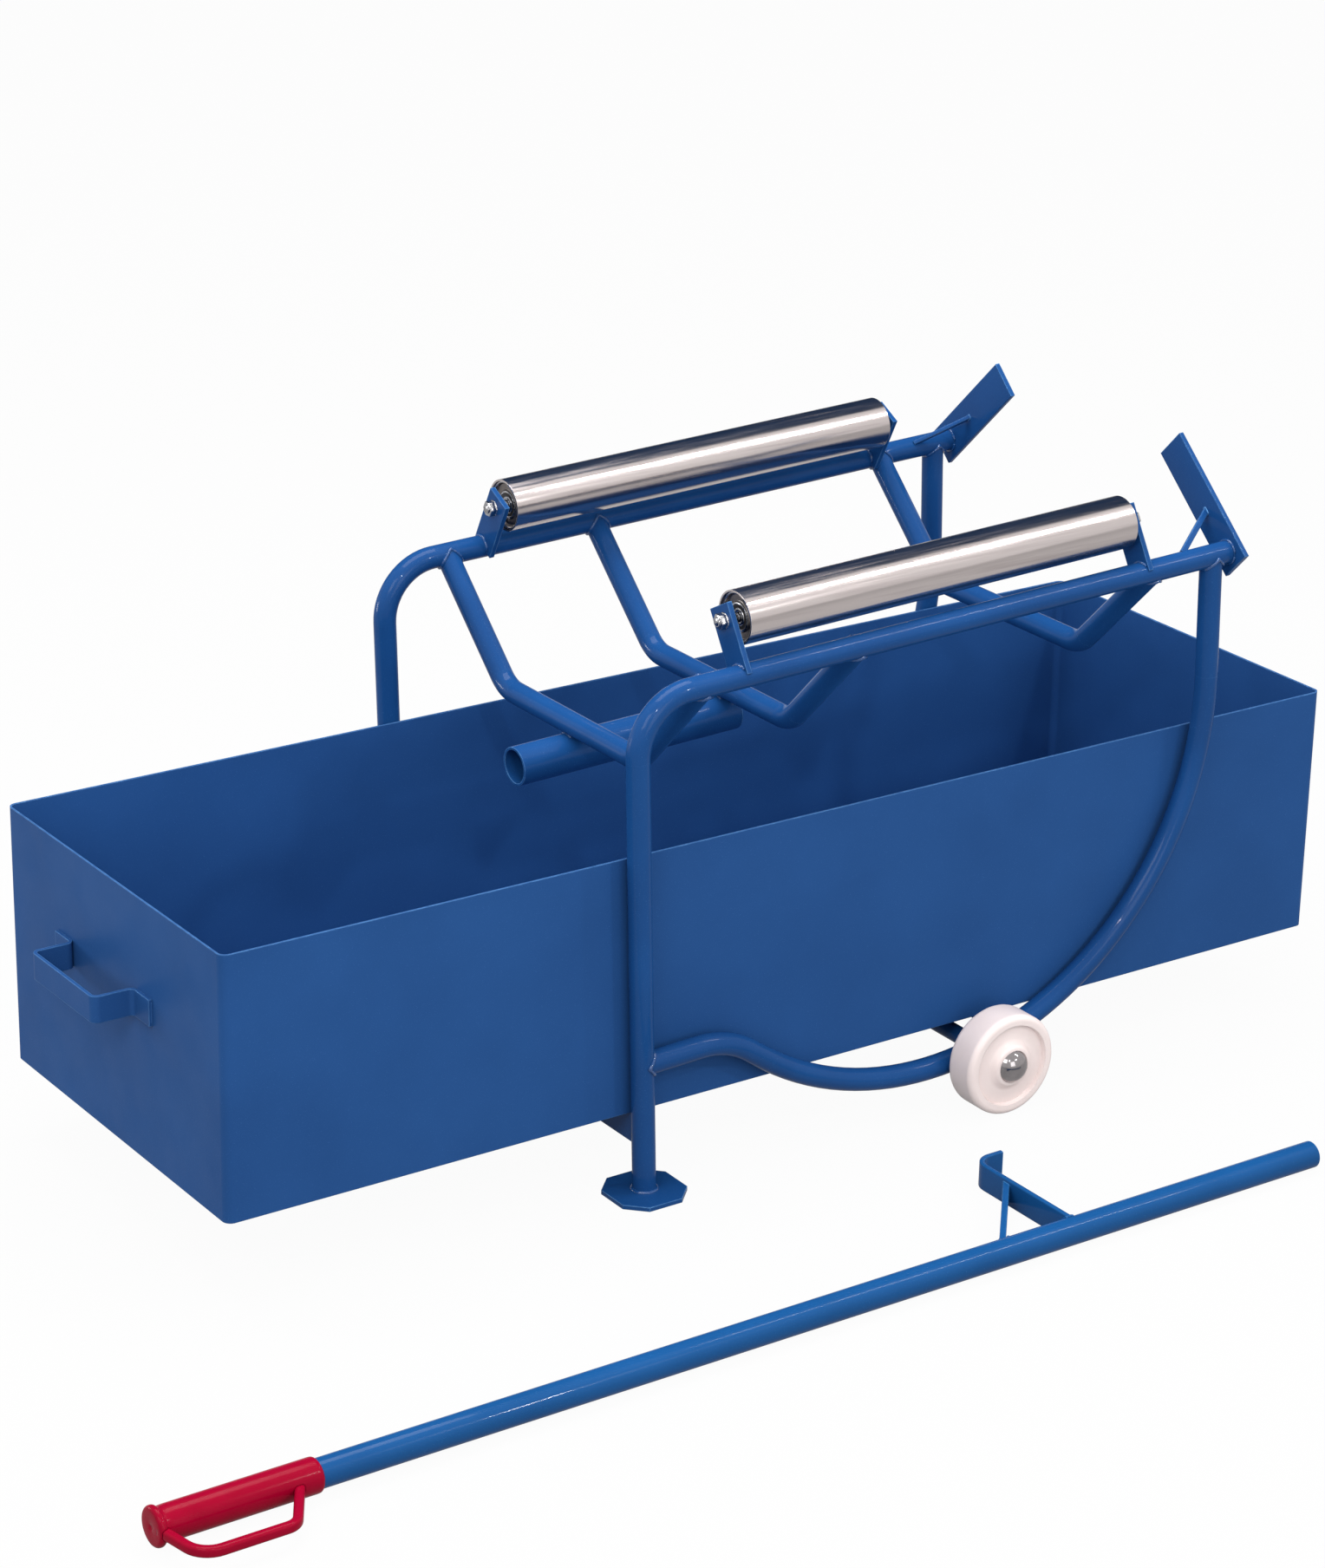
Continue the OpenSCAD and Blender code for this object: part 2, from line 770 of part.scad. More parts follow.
module lever_tube() {
    color(lever_blue) on_lever() difference() {
        lever_bar(lever_r);
        lever_bar(lever_r - lever_wall, over);
    }
}

// Hook bar on edge with its turned end, braced back to the lever tube.
module lever_hook() {
    color(lever_blue) on_lever() difference() {
        union() {
            translate([hook_x, 0, -hook_h / 2]) cube([hook_t, hook_reach - hook_bend_r, hook_h]);
            translate([hook_x + hook_bend_r, hook_reach - hook_bend_r, 0]) rotate([0, 0, 90])
                rotate_extrude(angle = 90) translate([hook_bend_r - hook_t, -hook_h / 2])
                    square([hook_t, hook_h]);
            translate([hook_x + hook_bend_r, hook_reach - hook_t, -hook_h / 2])
                cube([hook_toe - hook_bend_r, hook_t, hook_h]);
            linear_extrude(hook_brace_h, center = true) polygon([
                [hook_x - hook_brace_x - hook_t, 0], [hook_x - hook_brace_x + hook_t / 2, 0],
                [hook_x + over / 2, hook_brace_y - hook_t], [hook_x + over / 2, hook_brace_y + hook_t / 2]
            ]);
        }
        lever_bar(lever_r);
    }
}

// Unit normal of the line from a to b, and the mitre at b at distance d from the path.
function side(a, b) = [a[1] - b[1], b[0] - a[0]] / norm(b - a);
function mitre(a, b, c, d) = let (u = side(a, b), v = side(b, c)) b + d * (u + v) / (1 + u * v);
function path_edge(p, d) = [
    p[0] + d * side(p[0], p[1]), mitre(p[0], p[1], p[2], d),
    mitre(p[1], p[2], p[3], d), p[3] + d * side(p[2], p[3])
];

// Moulded grip pushed over the tube end, with an end flange and a hand guard.
module lever_grip() {
    color(red) on_lever() translate([grip_x, 0, 0]) difference() {
        union() {
            rotate([0, 90, 0]) cylinder(h = grip_len, d = grip_d);
            rotate([0, 90, 0]) cylinder(h = grip_flange_t, d = grip_flange_d);
            linear_extrude(guard_h, center = true) polygon(concat(
                path_edge(guard_turns, guard_t / 2),
                [for (i = [3:-1:0]) path_edge(guard_turns, -guard_t / 2)[i]]
            ));
        }
        translate([grip_end_t, 0, 0]) rotate([0, 90, 0]) cylinder(h = grip_len + over, r = lever_r);
    }
}

side_frame_near();
side_frame_far();
foot_near();
foot_far();
rocker_near();
rocker_far();
cradle_front();
cradle_mid();
cradle_rear();
lever_socket();
tray_rest_front();
tray_rest_rear();
stop_near();
stop_far();
bracket_near_front();
bracket_near_rear();
bracket_far_front();
bracket_far_rear();
roller_axle_near();
roller_axle_far();
roller_nuts_near();
roller_nuts_far();
roller_shell_near();
roller_shell_far();
roller_bearings_near();
roller_bearings_far();
wheel_axle();
axle_washers();
wheel_near();
wheel_far();
hub_cap_near();
hub_cap_far();
tray_pan();
tray_handle();
lever_tube();
lever_hook();
lever_grip();
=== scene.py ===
"""Looks of a drum tipper: blue tubular cradle, rollers, wheels, tray and tipping lever."""

import json
import logging
import math
from dataclasses import dataclass, field
from enum import Enum
from typing import Sequence

import bpy
from mathutils import Matrix, Vector


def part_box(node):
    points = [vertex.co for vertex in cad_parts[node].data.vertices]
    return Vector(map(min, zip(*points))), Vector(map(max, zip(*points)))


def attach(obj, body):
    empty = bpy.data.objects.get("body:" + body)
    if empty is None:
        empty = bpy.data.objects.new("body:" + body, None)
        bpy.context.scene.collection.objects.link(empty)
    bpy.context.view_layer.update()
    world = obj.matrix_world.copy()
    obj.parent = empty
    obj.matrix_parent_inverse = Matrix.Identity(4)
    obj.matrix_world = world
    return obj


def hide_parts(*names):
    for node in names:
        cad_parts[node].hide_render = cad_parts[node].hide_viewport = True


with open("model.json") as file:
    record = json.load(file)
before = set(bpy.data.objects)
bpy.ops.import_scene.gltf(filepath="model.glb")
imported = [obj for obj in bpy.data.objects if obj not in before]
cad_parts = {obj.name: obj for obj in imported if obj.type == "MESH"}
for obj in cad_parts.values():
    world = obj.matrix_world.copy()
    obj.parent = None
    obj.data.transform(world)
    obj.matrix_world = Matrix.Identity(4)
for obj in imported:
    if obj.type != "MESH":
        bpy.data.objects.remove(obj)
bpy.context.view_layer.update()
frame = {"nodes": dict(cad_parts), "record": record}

LOG = logging.getLogger("drum_tipper")
MM = 0.001

Pair = tuple[float, float]
Triple = tuple[float, float, float]
Colour = tuple[float, float, float, float]
Socket = bpy.types.NodeSocket

# Pieces are sized in millimetres, shading in metres.
TUBE_R = 13.0
FRAME_Y = 256.0
RAIL_Z = 567.0
RAIL_LEN = 802.0
ROLLER_Y = 227.0
ROLLER_Z = 621.0
BRACKET_T = 6.0
SLOPE_DEG = 2.0


class Body(str, Enum):
    """The moving bodies that pieces ride on."""

    FRAME = "frame"
    ROLLER_NEAR = "roller_near"
    ROLLER_FAR = "roller_far"
    WHEEL_NEAR = "wheel_left"
    TRAY = "tray"
    LEVER = "lever"


class Side(Enum):
    """Which side of the tipper a piece belongs to."""

    NEAR = -1
    FAR = 1

    @property
    def word(self) -> str:
        """The side's name as the nodes use it."""
        return self.name.lower()


@dataclass(frozen=True)
class Datum:
    """The maker's zero point, under the front legs on the centre plane."""

    origin: Vector

    @classmethod
    def from_feet(cls) -> "Datum":
        """Finds the zero point between the two foot plates.

        Returns:
            The zero point.
        """
        near_low, near_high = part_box("foot_near")
        far_low, far_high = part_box("foot_far")
        middle = (near_low + near_high + far_low + far_high) / 4
        return cls(Vector((middle.x, middle.y, 0.0)))

    def level(self) -> Matrix:
        """Matrix from the maker's millimetres to the row frame, for level pieces."""
        return Matrix.Translation(self.origin) @ Matrix.Scale(MM, 4)

    def sloped(self) -> Matrix:
        """The same for the cradle, which falls towards its outlet end."""
        turn = Matrix.Rotation(-math.radians(SLOPE_DEG), 4, "Y")
        return Matrix.Translation(self.origin) @ turn @ Matrix.Scale(MM, 4)


@dataclass(frozen=True)
class LeverPlace:
    """Where the loose lever lies on the floor, measured from its grip end."""

    grip_x: float = -783.0
    away_y: float = 608.0
    length: float = 1438.0
    flange_r: float = 20.5
    flange_t: float = 8.0
    tube_r: float = 15.0
    askew_deg: float = 0.5

    def matrix(self, datum: Datum) -> Matrix:
        """Matrix from the lever's own millimetres to the row frame.

        Args:
            datum: The maker's zero point.

        Returns:
            The matrix, with the lever's axis along its own x.
        """
        dip = math.asin((self.flange_r - self.tube_r) / self.length)
        height = self.flange_r * math.cos(dip) + self.flange_t * math.sin(dip)
        place = Matrix.Translation(Vector((self.grip_x, -self.away_y, height)))
        turn = Matrix.Rotation(math.radians(self.askew_deg), 4, "Z") @ Matrix.Rotation(dip, 4, "Y")
        return datum.level() @ place @ turn


def deselect() -> None:
    """Leaves edit mode, if need be, and deselects every object."""
    if bpy.context.object and bpy.context.object.mode != "OBJECT":
        bpy.ops.object.mode_set(mode="OBJECT")
    bpy.ops.object.select_all(action="DESELECT")


def named(name: str) -> bpy.types.Object:
    """Names the active object and its mesh, and returns it.

    Args:
        name: The name for both.

    Returns:
        The active object.
    """
    obj = bpy.context.object
    obj.name = name
    obj.data.name = name
    return obj


def settle(obj: bpy.types.Object, matrix: Matrix) -> bpy.types.Object:
    """Puts a finished piece in its place, with the place in its mesh.

    Args:
        obj: The piece, in its own millimetres.
        matrix: From those millimetres to the row frame.

    Returns:
        The piece, its object at the origin.
    """
    deselect()
    obj.select_set(True)
    bpy.context.view_layer.objects.active = obj
    obj.matrix_world = matrix
    bpy.ops.object.transform_apply(location=True, rotation=True, scale=True)
    return obj


def tidy_shell(obj: bpy.types.Object, smooth_deg: float = 35.0) -> bpy.types.Object:
    """Merges doubles, turns a closed shell's faces outwards and smooths below an angle.

    Args:
        obj: The piece.
        smooth_deg: Faces that meet at less than this are smoothed.

    Returns:
        The same piece.
    """
    deselect()
    obj.select_set(True)
    bpy.context.view_layer.objects.active = obj
    bpy.ops.object.mode_set(mode="EDIT")
    bpy.ops.mesh.select_all(action="SELECT")
    bpy.ops.mesh.remove_doubles(threshold=0.001)
    bpy.ops.mesh.normals_make_consistent(inside=False)
    bpy.ops.object.mode_set(mode="OBJECT")
    bpy.ops.object.shade_smooth_by_angle(angle=math.radians(smooth_deg))
    return obj


def lathe(name: str, profile: Sequence[Pair], steps: int = 64) -> bpy.types.Object:
    """Turns a profile about the x axis, as on a lathe.

    Args:
        name: The piece's name.
        profile: Points of distance along x and radius.
        steps: Faces round the axis.

    Returns:
        The turned piece, in millimetres.
    """
    deselect()
    bpy.ops.mesh.primitive_plane_add(size=1.0)
    obj = named(name)
    bpy.ops.object.mode_set(mode="EDIT")
    bpy.ops.mesh.select_all(action="SELECT")
    bpy.ops.mesh.merge(type="CENTER")
    bpy.ops.transform.translate(value=(profile[0][0], 0.0, profile[0][1]))
    for before, after in zip(profile, profile[1:]):
        step = (after[0] - before[0], 0.0, after[1] - before[1])
        bpy.ops.mesh.extrude_vertices_move(TRANSFORM_OT_translate={"value": step})
    bpy.ops.mesh.select_all(action="SELECT")
    bpy.ops.mesh.spin(steps=steps, angle=math.tau, center=(0, 0, 0), axis=(1, 0, 0))
    return tidy_shell(obj)


def arc(centre: Pair, radius: float, start: float, end: float, steps: int = 6) -> list[Pair]:
    """Points of an arc, with its angles in degrees."""
    turns = [math.radians(start + (end - start) * i / steps) for i in range(steps + 1)]
    return [(centre[0] + radius * math.cos(t), centre[1] + radius * math.sin(t)) for t in turns]


def bent_bar(
    name: str,
    corners: Sequence[Pair],
    radii: Sequence[float],
    width: float,
    height: float,
    edge_r: float,
) -> bpy.types.Object:
    """Bends a bar of rounded section along straight runs and corners in one plane.

    Args:
        name: The piece's name.
        corners: The middle line's points in the plane z = 0.
        radii: Bend radius at each inner corner.
        width: Size of the section across the plane's run.
        height: Size of the section along z.
        edge_r: Rounding of the section's edges.

    Returns:
        The closed bar, in millimetres.
    """
    points = [Vector((*c, 0.0)) for c in corners]
    runs = [(b - a).normalized() for a, b in zip(points, points[1:])]
    heading = math.atan2(runs[0].y, runs[0].x)
    deselect()
    facing = (0.0, math.pi / 2, heading)
    bpy.ops.mesh.primitive_plane_add(size=1.0, location=points[0], rotation=facing)
    obj = named(name)
    obj.scale = (height, width, 1.0)
    bpy.ops.object.transform_apply(location=True, rotation=True, scale=True)
    bpy.ops.object.mode_set(mode="EDIT")
    bpy.ops.mesh.select_all(action="SELECT")
    bpy.ops.mesh.bevel(offset=edge_r, segments=5, affect="VERTICES")
    bpy.ops.mesh.select_all(action="SELECT")
    at = points[0]
    for i, run in enumerate(runs):
        last = i == len(runs) - 1
        turn = 0.0 if last else run.angle(runs[i + 1])
        cut = 0.0 if last else radii[i] * math.tan(turn / 2)
        end = points[i + 1] - run * cut
        bpy.ops.mesh.extrude_region_move(TRANSFORM_OT_translate={"value": end - at})
        at = end
        if not last:
            spin_way = 1.0 if run.cross(runs[i + 1]).z > 0 else -1.0
            inward = Vector((-run.y, run.x, 0.0)) * spin_way
            centre = end + inward * radii[i]
            # Without a window, spin turns the other way round its axis.
            bpy.ops.mesh.spin(steps=8, angle=turn, center=centre, axis=(0.0, 0.0, -spin_way))
            at = points[i + 1] + runs[i + 1] * cut
    bpy.ops.mesh.select_all(action="DESELECT")
    bpy.ops.mesh.select_interior_faces()
    bpy.ops.mesh.delete(type="FACE")
    return tidy_shell(obj, 50.0)


def join(name: str, parts: Sequence[bpy.types.Object]) -> bpy.types.Object:
    """Joins several meshes into one piece.

    Args:
        name: Name of the joined piece.
        parts: What is joined.

    Returns:
        The joined piece.
    """
    deselect()
    for part in parts:
        part.select_set(True)
    bpy.context.view_layer.objects.active = parts[0]
    if len(parts) > 1:
        bpy.ops.object.join()
    return named(name)


def copy_of(obj: bpy.types.Object, name: str) -> bpy.types.Object:
    """A copy of a piece with a mesh of its own.

    Args:
        obj: The piece to copy.
        name: The copy's name.

    Returns:
        The copy.
    """
    deselect()
    obj.select_set(True)
    bpy.context.view_layer.objects.active = obj
    bpy.ops.object.duplicate(linked=False)
    return named(name)


# Cosine between rounded and flat normal where the edge mask starts, and where it is full.
EDGE_STARTS = 0.985
EDGE_FULL = 0.85


class Sheet:
    """A material under construction, with its shader and short ways to add nodes."""

    def __init__(self, name: str) -> None:
        """Starts a material with a plain shader.

        Args:
            name: The material's name.
        """
        self.material = bpy.data.materials.new(name)
        self.material.use_nodes = True
        self.tree = self.material.node_tree
        self.tree.nodes.clear()
        self.output = self.tree.nodes.new("ShaderNodeOutputMaterial")
        self.shader = self.tree.nodes.new("ShaderNodeBsdfPrincipled")
        self.tree.links.new(self.shader.outputs["BSDF"], self.output.inputs["Surface"])
        self.place = self.tree.nodes.new("ShaderNodeTexCoord").outputs["Object"]

    def add(self, kind: str, **inputs: object) -> bpy.types.Node:
        """Adds a node and fills its inputs.

        Args:
            kind: The node's type.
            inputs: Values or sockets by input name, with spaces as underscores.

        Returns:
            The node.
        """
        node = self.tree.nodes.new(kind)
        for key, value in inputs.items():
            self.feed(node.inputs[key.replace("_", " ")], value)
        return node

    def feed(self, socket: Socket, value: object) -> None:
        """Links a socket into an input, or sets its value.

        Args:
            socket: The input.
            value: A socket to link from, or a plain value.
        """
        if isinstance(value, bpy.types.NodeSocket):
            self.tree.links.new(value, socket)
        else:
            socket.default_value = value

    def stretched(self, scale: Triple) -> Socket:
        """Object coordinates with a scale of their own along each axis."""
        node = self.add("ShaderNodeMapping", Vector=self.place, Scale=scale)
        return node.outputs["Vector"]

    def noise(
        self, scale: float, detail: float = 3.0, at: Socket | None = None, rough: float = 0.5
    ) -> Socket:
        """A noise from 0 to 1, in features of one over scale metres.

        Args:
            scale: Features to the metre.
            detail: How many finer layers it has.
            at: Coordinates, or none for the object's own.
            rough: Share of the finer layers.

        Returns:
            The noise.
        """
        node = self.add(
            "ShaderNodeTexNoise",
            Vector=at or self.place,
            Scale=scale,
            Detail=detail,
            Roughness=rough,
        )
        return node.outputs["Fac"]

    def ramp(
        self, value: Socket, low: float, high: float, to_low: float = 0.0, to_high: float = 1.0
    ) -> Socket:
        """Spreads a part of a value's span over a new span.

        Args:
            value: What is spread.
            low: Start of the part.
            high: End of the part.
            to_low: What the start becomes.
            to_high: What the end becomes.

        Returns:
            The spread value, kept within the new span.
        """
        node = self.add("ShaderNodeMapRange")
        ends = {"From Min": low, "From Max": high, "To Min": to_low, "To Max": to_high}
        for key, number in ends.items():
            node.inputs[key].default_value = number
        self.tree.links.new(value, node.inputs["Value"])
        return node.outputs["Result"]

    def blend(self, share: Socket, first: object, second: object) -> Socket:
        """Mixes two colours by a share from 0 to 1.

        Args:
            share: Share of the second colour.
            first: Colour or socket at 0.
            second: Colour or socket at 1.

        Returns:
            The mixed colour.
        """
        node = self.tree.nodes.new("ShaderNodeMix")
        node.data_type = "RGBA"
        self.feed(node.inputs[0], share)
        self.feed(node.inputs[6], first)
        self.feed(node.inputs[7], second)
        return node.outputs[2]

    def math(self, operation: str, first: object, second: object = 0.0) -> Socket:
        """Works one sum on two values.

        Args:
            operation: The math node's operation.
            first: Number or socket.
            second: Number or socket.

        Returns:
            The result.
        """
        node = self.tree.nodes.new("ShaderNodeMath")
        node.operation = operation
        self.feed(node.inputs[0], first)
        self.feed(node.inputs[1], second)
        return node.outputs[0]

    def rounded(self, radius: float) -> tuple[Socket, Socket]:
        """Rounds the edges in the shading.

        Args:
            radius: Edge rounding in metres.

        Returns:
            The rounded normal, and a mask that is 1 on sharp edges.
        """
        bevel = self.add("ShaderNodeBevel", Radius=radius)
        bevel.samples = 4
        flat = self.tree.nodes.new("ShaderNodeNewGeometry")
        dot = self.tree.nodes.new("ShaderNodeVectorMath")
        dot.operation = "DOT_PRODUCT"
        self.tree.links.new(bevel.outputs["Normal"], dot.inputs[0])
        self.tree.links.new(flat.outputs["Normal"], dot.inputs[1])
        mask = self.ramp(dot.outputs["Value"], EDGE_STARTS, EDGE_FULL)
        return bevel.outputs["Normal"], mask

    def relief(
        self, height: Socket, depth: float, strength: float, normal: Socket | None = None
    ) -> Socket:
        """A bump over a normal, depth in metres.

        Args:
            height: The height, from 0 to 1.
            depth: Height of a full step.
            strength: How much of it shows.
            normal: The normal under it, or none for the flat one.

        Returns:
            The bumped normal.
        """
        node = self.add("ShaderNodeBump", Height=height, Distance=depth, Strength=strength)
        if normal is not None:
            self.tree.links.new(normal, node.inputs["Normal"])
        return node.outputs["Normal"]

    def finish(
        self, colour: object, roughness: object, normal: Socket, **fixed: object
    ) -> bpy.types.Material:
        """Wires the shader's own sockets, sets the fixed ones and returns the material.

        Args:
            colour: Base colour, plain or a socket.
            roughness: Roughness, plain or a socket.
            normal: The normal.
            fixed: Numbers by input name, with spaces as underscores.

        Returns:
            The material.
        """
        self.feed(self.shader.inputs["Base Color"], colour)
        self.feed(self.shader.inputs["Roughness"], roughness)
        self.tree.links.new(normal, self.shader.inputs["Normal"])
        for key, value in fixed.items():
            self.shader.inputs[key.replace("_", " ")].default_value = value
        return self.material


def srgb(red: int, green: int, blue: int) -> Colour:
    """A screen colour as linear light.

    Args:
        red: Red, from 0 to 255.
        green: Green.
        blue: Blue.

    Returns:
        The colour, with full cover.
    """

    def linear(value: int) -> float:
        share = value / 255
        return share / 12.92 if share <= 0.04045 else ((share + 0.055) / 1.055) ** 2.4

    return (linear(red), linear(green), linear(blue), 1.0)


@dataclass(frozen=True)
class Enamel:
    """Sprayed and stoved gloss paint on steel, with a fine peel and paler edges: part wear, part
    painted highlight.
    """

    name: str
    colour: Colour
    deep: Colour
    edge: Colour
    roughness: float
    peel: float
    coat: float
    shine: float
    edge_r: float = 0.0018
    coat_rough: float = 0.035
    cloud_scale: float = 7.0
    wear_and_highlight_scale: float = 90.0
    nib_scale: float = 1500.0
    sheen_scale: float = 26.0
    wave_scale: float = 420.0
    wave_depth: float = 0.0003

    def material(self) -> bpy.types.Material:
        """Builds the paint.

        Returns:
            The material.
        """
        sheet = Sheet(self.name)
        normal, edges = sheet.rounded(self.edge_r)
        clouds = sheet.ramp(sheet.noise(self.cloud_scale, 4.0), 0.32, 0.68)
        body = sheet.blend(clouds, self.deep, self.colour)
        # Sharp edges are painted paler in patches: partly edge wear, partly a painted highlight
        # where edges catch the light.
        wear_and_highlight_breakup = sheet.ramp(sheet.noise(self.wear_and_highlight_scale), 0.35, 0.7, 0.4, 1.0)
        edge_wear_and_highlight = sheet.math("MULTIPLY", edges, wear_and_highlight_breakup)
        colour = sheet.blend(edge_wear_and_highlight, body, self.edge)
        nibs = sheet.ramp(sheet.noise(self.nib_scale, 1.0), 0.70, 0.78)
        # Dust nibs in the paint take the same pale edge colour.
        colour = sheet.blend(sheet.math("MULTIPLY", nibs, 0.35), colour, self.edge)
        low, high = self.roughness - 0.05, self.roughness + 0.07
        sheen = sheet.ramp(sheet.noise(self.sheen_scale, 5.0), 0.3, 0.7, low, high)
        wave = sheet.noise(self.wave_scale, 2.0)
        wave = sheet.math("ADD", wave, sheet.math("MULTIPLY", nibs, 0.6))
        relief = sheet.relief(wave, self.wave_depth, self.peel, normal)
        return sheet.finish(
            colour,
            sheen,
            relief,
            Coat_Weight=self.coat,
            Coat_Roughness=self.coat_rough,
            Specular_IOR_Level=self.shine,
        )


@dataclass(frozen=True)
class DrawnSteel:
    """Bare polished or plated steel, with fine lines along or round it."""

    name: str
    colour: Colour
    stain: Colour
    roughness: float
    grain: Triple
    depth: float = 0.08
    stains: Triple = (45.0, 45.0, 45.0)
    rubbed: Colour = (0.9, 0.9, 0.9, 1.0)
    edge_r: float = 0.0006
    line_depth: float = 0.0002

    def material(self) -> bpy.types.Material:
        """Builds the metal.

        Returns:
            The material.
        """
        sheet = Sheet(self.name)
        normal, edges = sheet.rounded(self.edge_r)
        lines = sheet.noise(1.0, 3.0, sheet.stretched(self.grain))
        spots = sheet.noise(1.0, 5.0, sheet.stretched(self.stains), 0.65)
        marks = sheet.ramp(spots, 0.48, 0.75)
        colour = sheet.blend(sheet.math("MULTIPLY", marks, 0.55), self.colour, self.stain)
        colour = sheet.blend(sheet.math("MULTIPLY", edges, 0.5), colour, self.rubbed)
        matt = sheet.math("MULTIPLY", marks, 0.10)
        low, high = self.roughness - 0.04, self.roughness + 0.06
        dull = sheet.math("ADD", matt, sheet.ramp(lines, 0.3, 0.7, low, high))
        relief = sheet.relief(lines, self.line_depth, self.depth, normal)
        return sheet.finish(colour, dull, relief, Metallic=1.0)


@dataclass(frozen=True)
class Moulded:
    """Moulded plastic with a soft gloss, faint flow marks and rubbed edges."""

    name: str
    colour: Colour
    shade: Colour
    roughness: float
    coat: float
    pores: float
    shine: float = 0.35
    edge_r: float = 0.0015
    coat_rough: float = 0.12
    flow_scale: float = 28.0
    rub_scale: float = 160.0
    sheen_scale: float = 60.0
    pore_scale: float = 900.0
    pore_depth: float = 0.0002

    def material(self) -> bpy.types.Material:
        """Builds the plastic.

        Returns:
            The material.
        """
        sheet = Sheet(self.name)
        normal, edges = sheet.rounded(self.edge_r)
        flow = sheet.ramp(sheet.noise(self.flow_scale, 4.0, rough=0.6), 0.35, 0.7)
        colour = sheet.blend(sheet.math("MULTIPLY", flow, 0.5), self.colour, self.shade)
        rub = sheet.ramp(sheet.noise(self.rub_scale), 0.4, 0.7)
        rubbed = sheet.math("MULTIPLY", sheet.math("MULTIPLY", edges, rub), 0.12)
        low, high = self.roughness - 0.05, self.roughness + 0.08
        sheen = sheet.ramp(sheet.noise(self.sheen_scale, 4.0), 0.3, 0.7, low, high)
        rough = sheet.math("ADD", rubbed, sheen)
        pores = sheet.noise(self.pore_scale, 2.0)
        relief = sheet.relief(pores, self.pore_depth, self.pores, normal)
        return sheet.finish(
            colour,
            rough,
            relief,
            Coat_Weight=self.coat,
            Coat_Roughness=self.coat_rough,
            Specular_IOR_Level=self.shine,
        )


# Each blue's pale edge colour is painted along sharp edges, as edge wear and as a painted edge
# highlight.
FRAME_BLUE = Enamel(
    "frame_blue",
    colour=srgb(24, 71, 128),
    deep=srgb(23, 64, 117),
    edge=srgb(104, 160, 216),
    roughness=0.2,
    peel=0.12,
    coat=0.13,
    shine=0.04,
)
WELD_BLUE = Enamel(
    "weld_blue",
    colour=srgb(24, 71, 128),
    deep=srgb(23, 64, 117),
    edge=srgb(58, 108, 168),
    roughness=0.12,
    peel=0.3,
    coat=0.4,
    shine=0.4,
)
TRAY_BLUE = Enamel(
    "tray_blue",
    colour=srgb(37, 78, 134),
    deep=srgb(34, 73, 127),
    edge=srgb(100, 152, 208),
    roughness=0.42,
    peel=0.16,
    coat=0.0,
    shine=0.05,
)
LEVER_BLUE = Enamel(
    "lever_blue",
    colour=srgb(22, 76, 131),
    deep=srgb(19, 70, 122),
    edge=srgb(84, 152, 214),
    roughness=0.2,
    peel=0.12,
    coat=0.13,
    shine=0.04,
)
ROLLER_STEEL = DrawnSteel(
    "roller_steel",
    colour=srgb(198, 189, 187),
    stain=srgb(146, 134, 134),
    roughness=0.17,
    grain=(1.2, 420.0, 420.0),
    stains=(2.5, 90.0, 90.0),
)
ZINC = DrawnSteel(
    "zinc_plate",
    colour=srgb(176, 176, 180),
    stain=srgb(140, 136, 130),
    roughness=0.2,
    grain=(300.0, 300.0, 300.0),
)
DOME_STEEL = DrawnSteel(
    "dome_steel",
    colour=srgb(150, 145, 146),
    stain=srgb(120, 116, 116),
    roughness=0.1,
    grain=(90.0, 90.0, 90.0),
    depth=0.04,
)
CUP_STEEL = DrawnSteel(
    "pressed_cup_steel",
    colour=srgb(118, 112, 110),
    stain=srgb(60, 52, 48),
    roughness=0.3,
    grain=(260.0, 260.0, 260.0),
    depth=0.12,
)
SEAL_BLACK = Moulded(
    "seal_rubber",
    colour=srgb(34, 32, 33),
    shade=srgb(24, 22, 22),
    roughness=0.5,
    coat=0.0,
    pores=0.15,
)
NYLON = Moulded(
    "wheel_nylon",
    colour=srgb(236, 222, 219),
    shade=srgb(228, 212, 209),
    roughness=0.4,
    coat=0.1,
    pores=0.06,
)
GRIP_RED = Moulded(
    "grip_red",
    colour=srgb(142, 3, 37),
    shade=srgb(129, 1, 31),
    roughness=0.2,
    coat=0.04,
    pores=0.05,
    shine=0.04,
)


def paint(obj: bpy.types.Object, *materials: bpy.types.Material) -> bpy.types.Object:
    """Gives a piece its materials in place of those it has.

    Args:
        obj: The piece.
        materials: Its materials, in slot order.

    Returns:
        The same piece.
    """
    obj.data.materials.clear()
    for material in materials:
        obj.data.materials.append(material)
    return obj


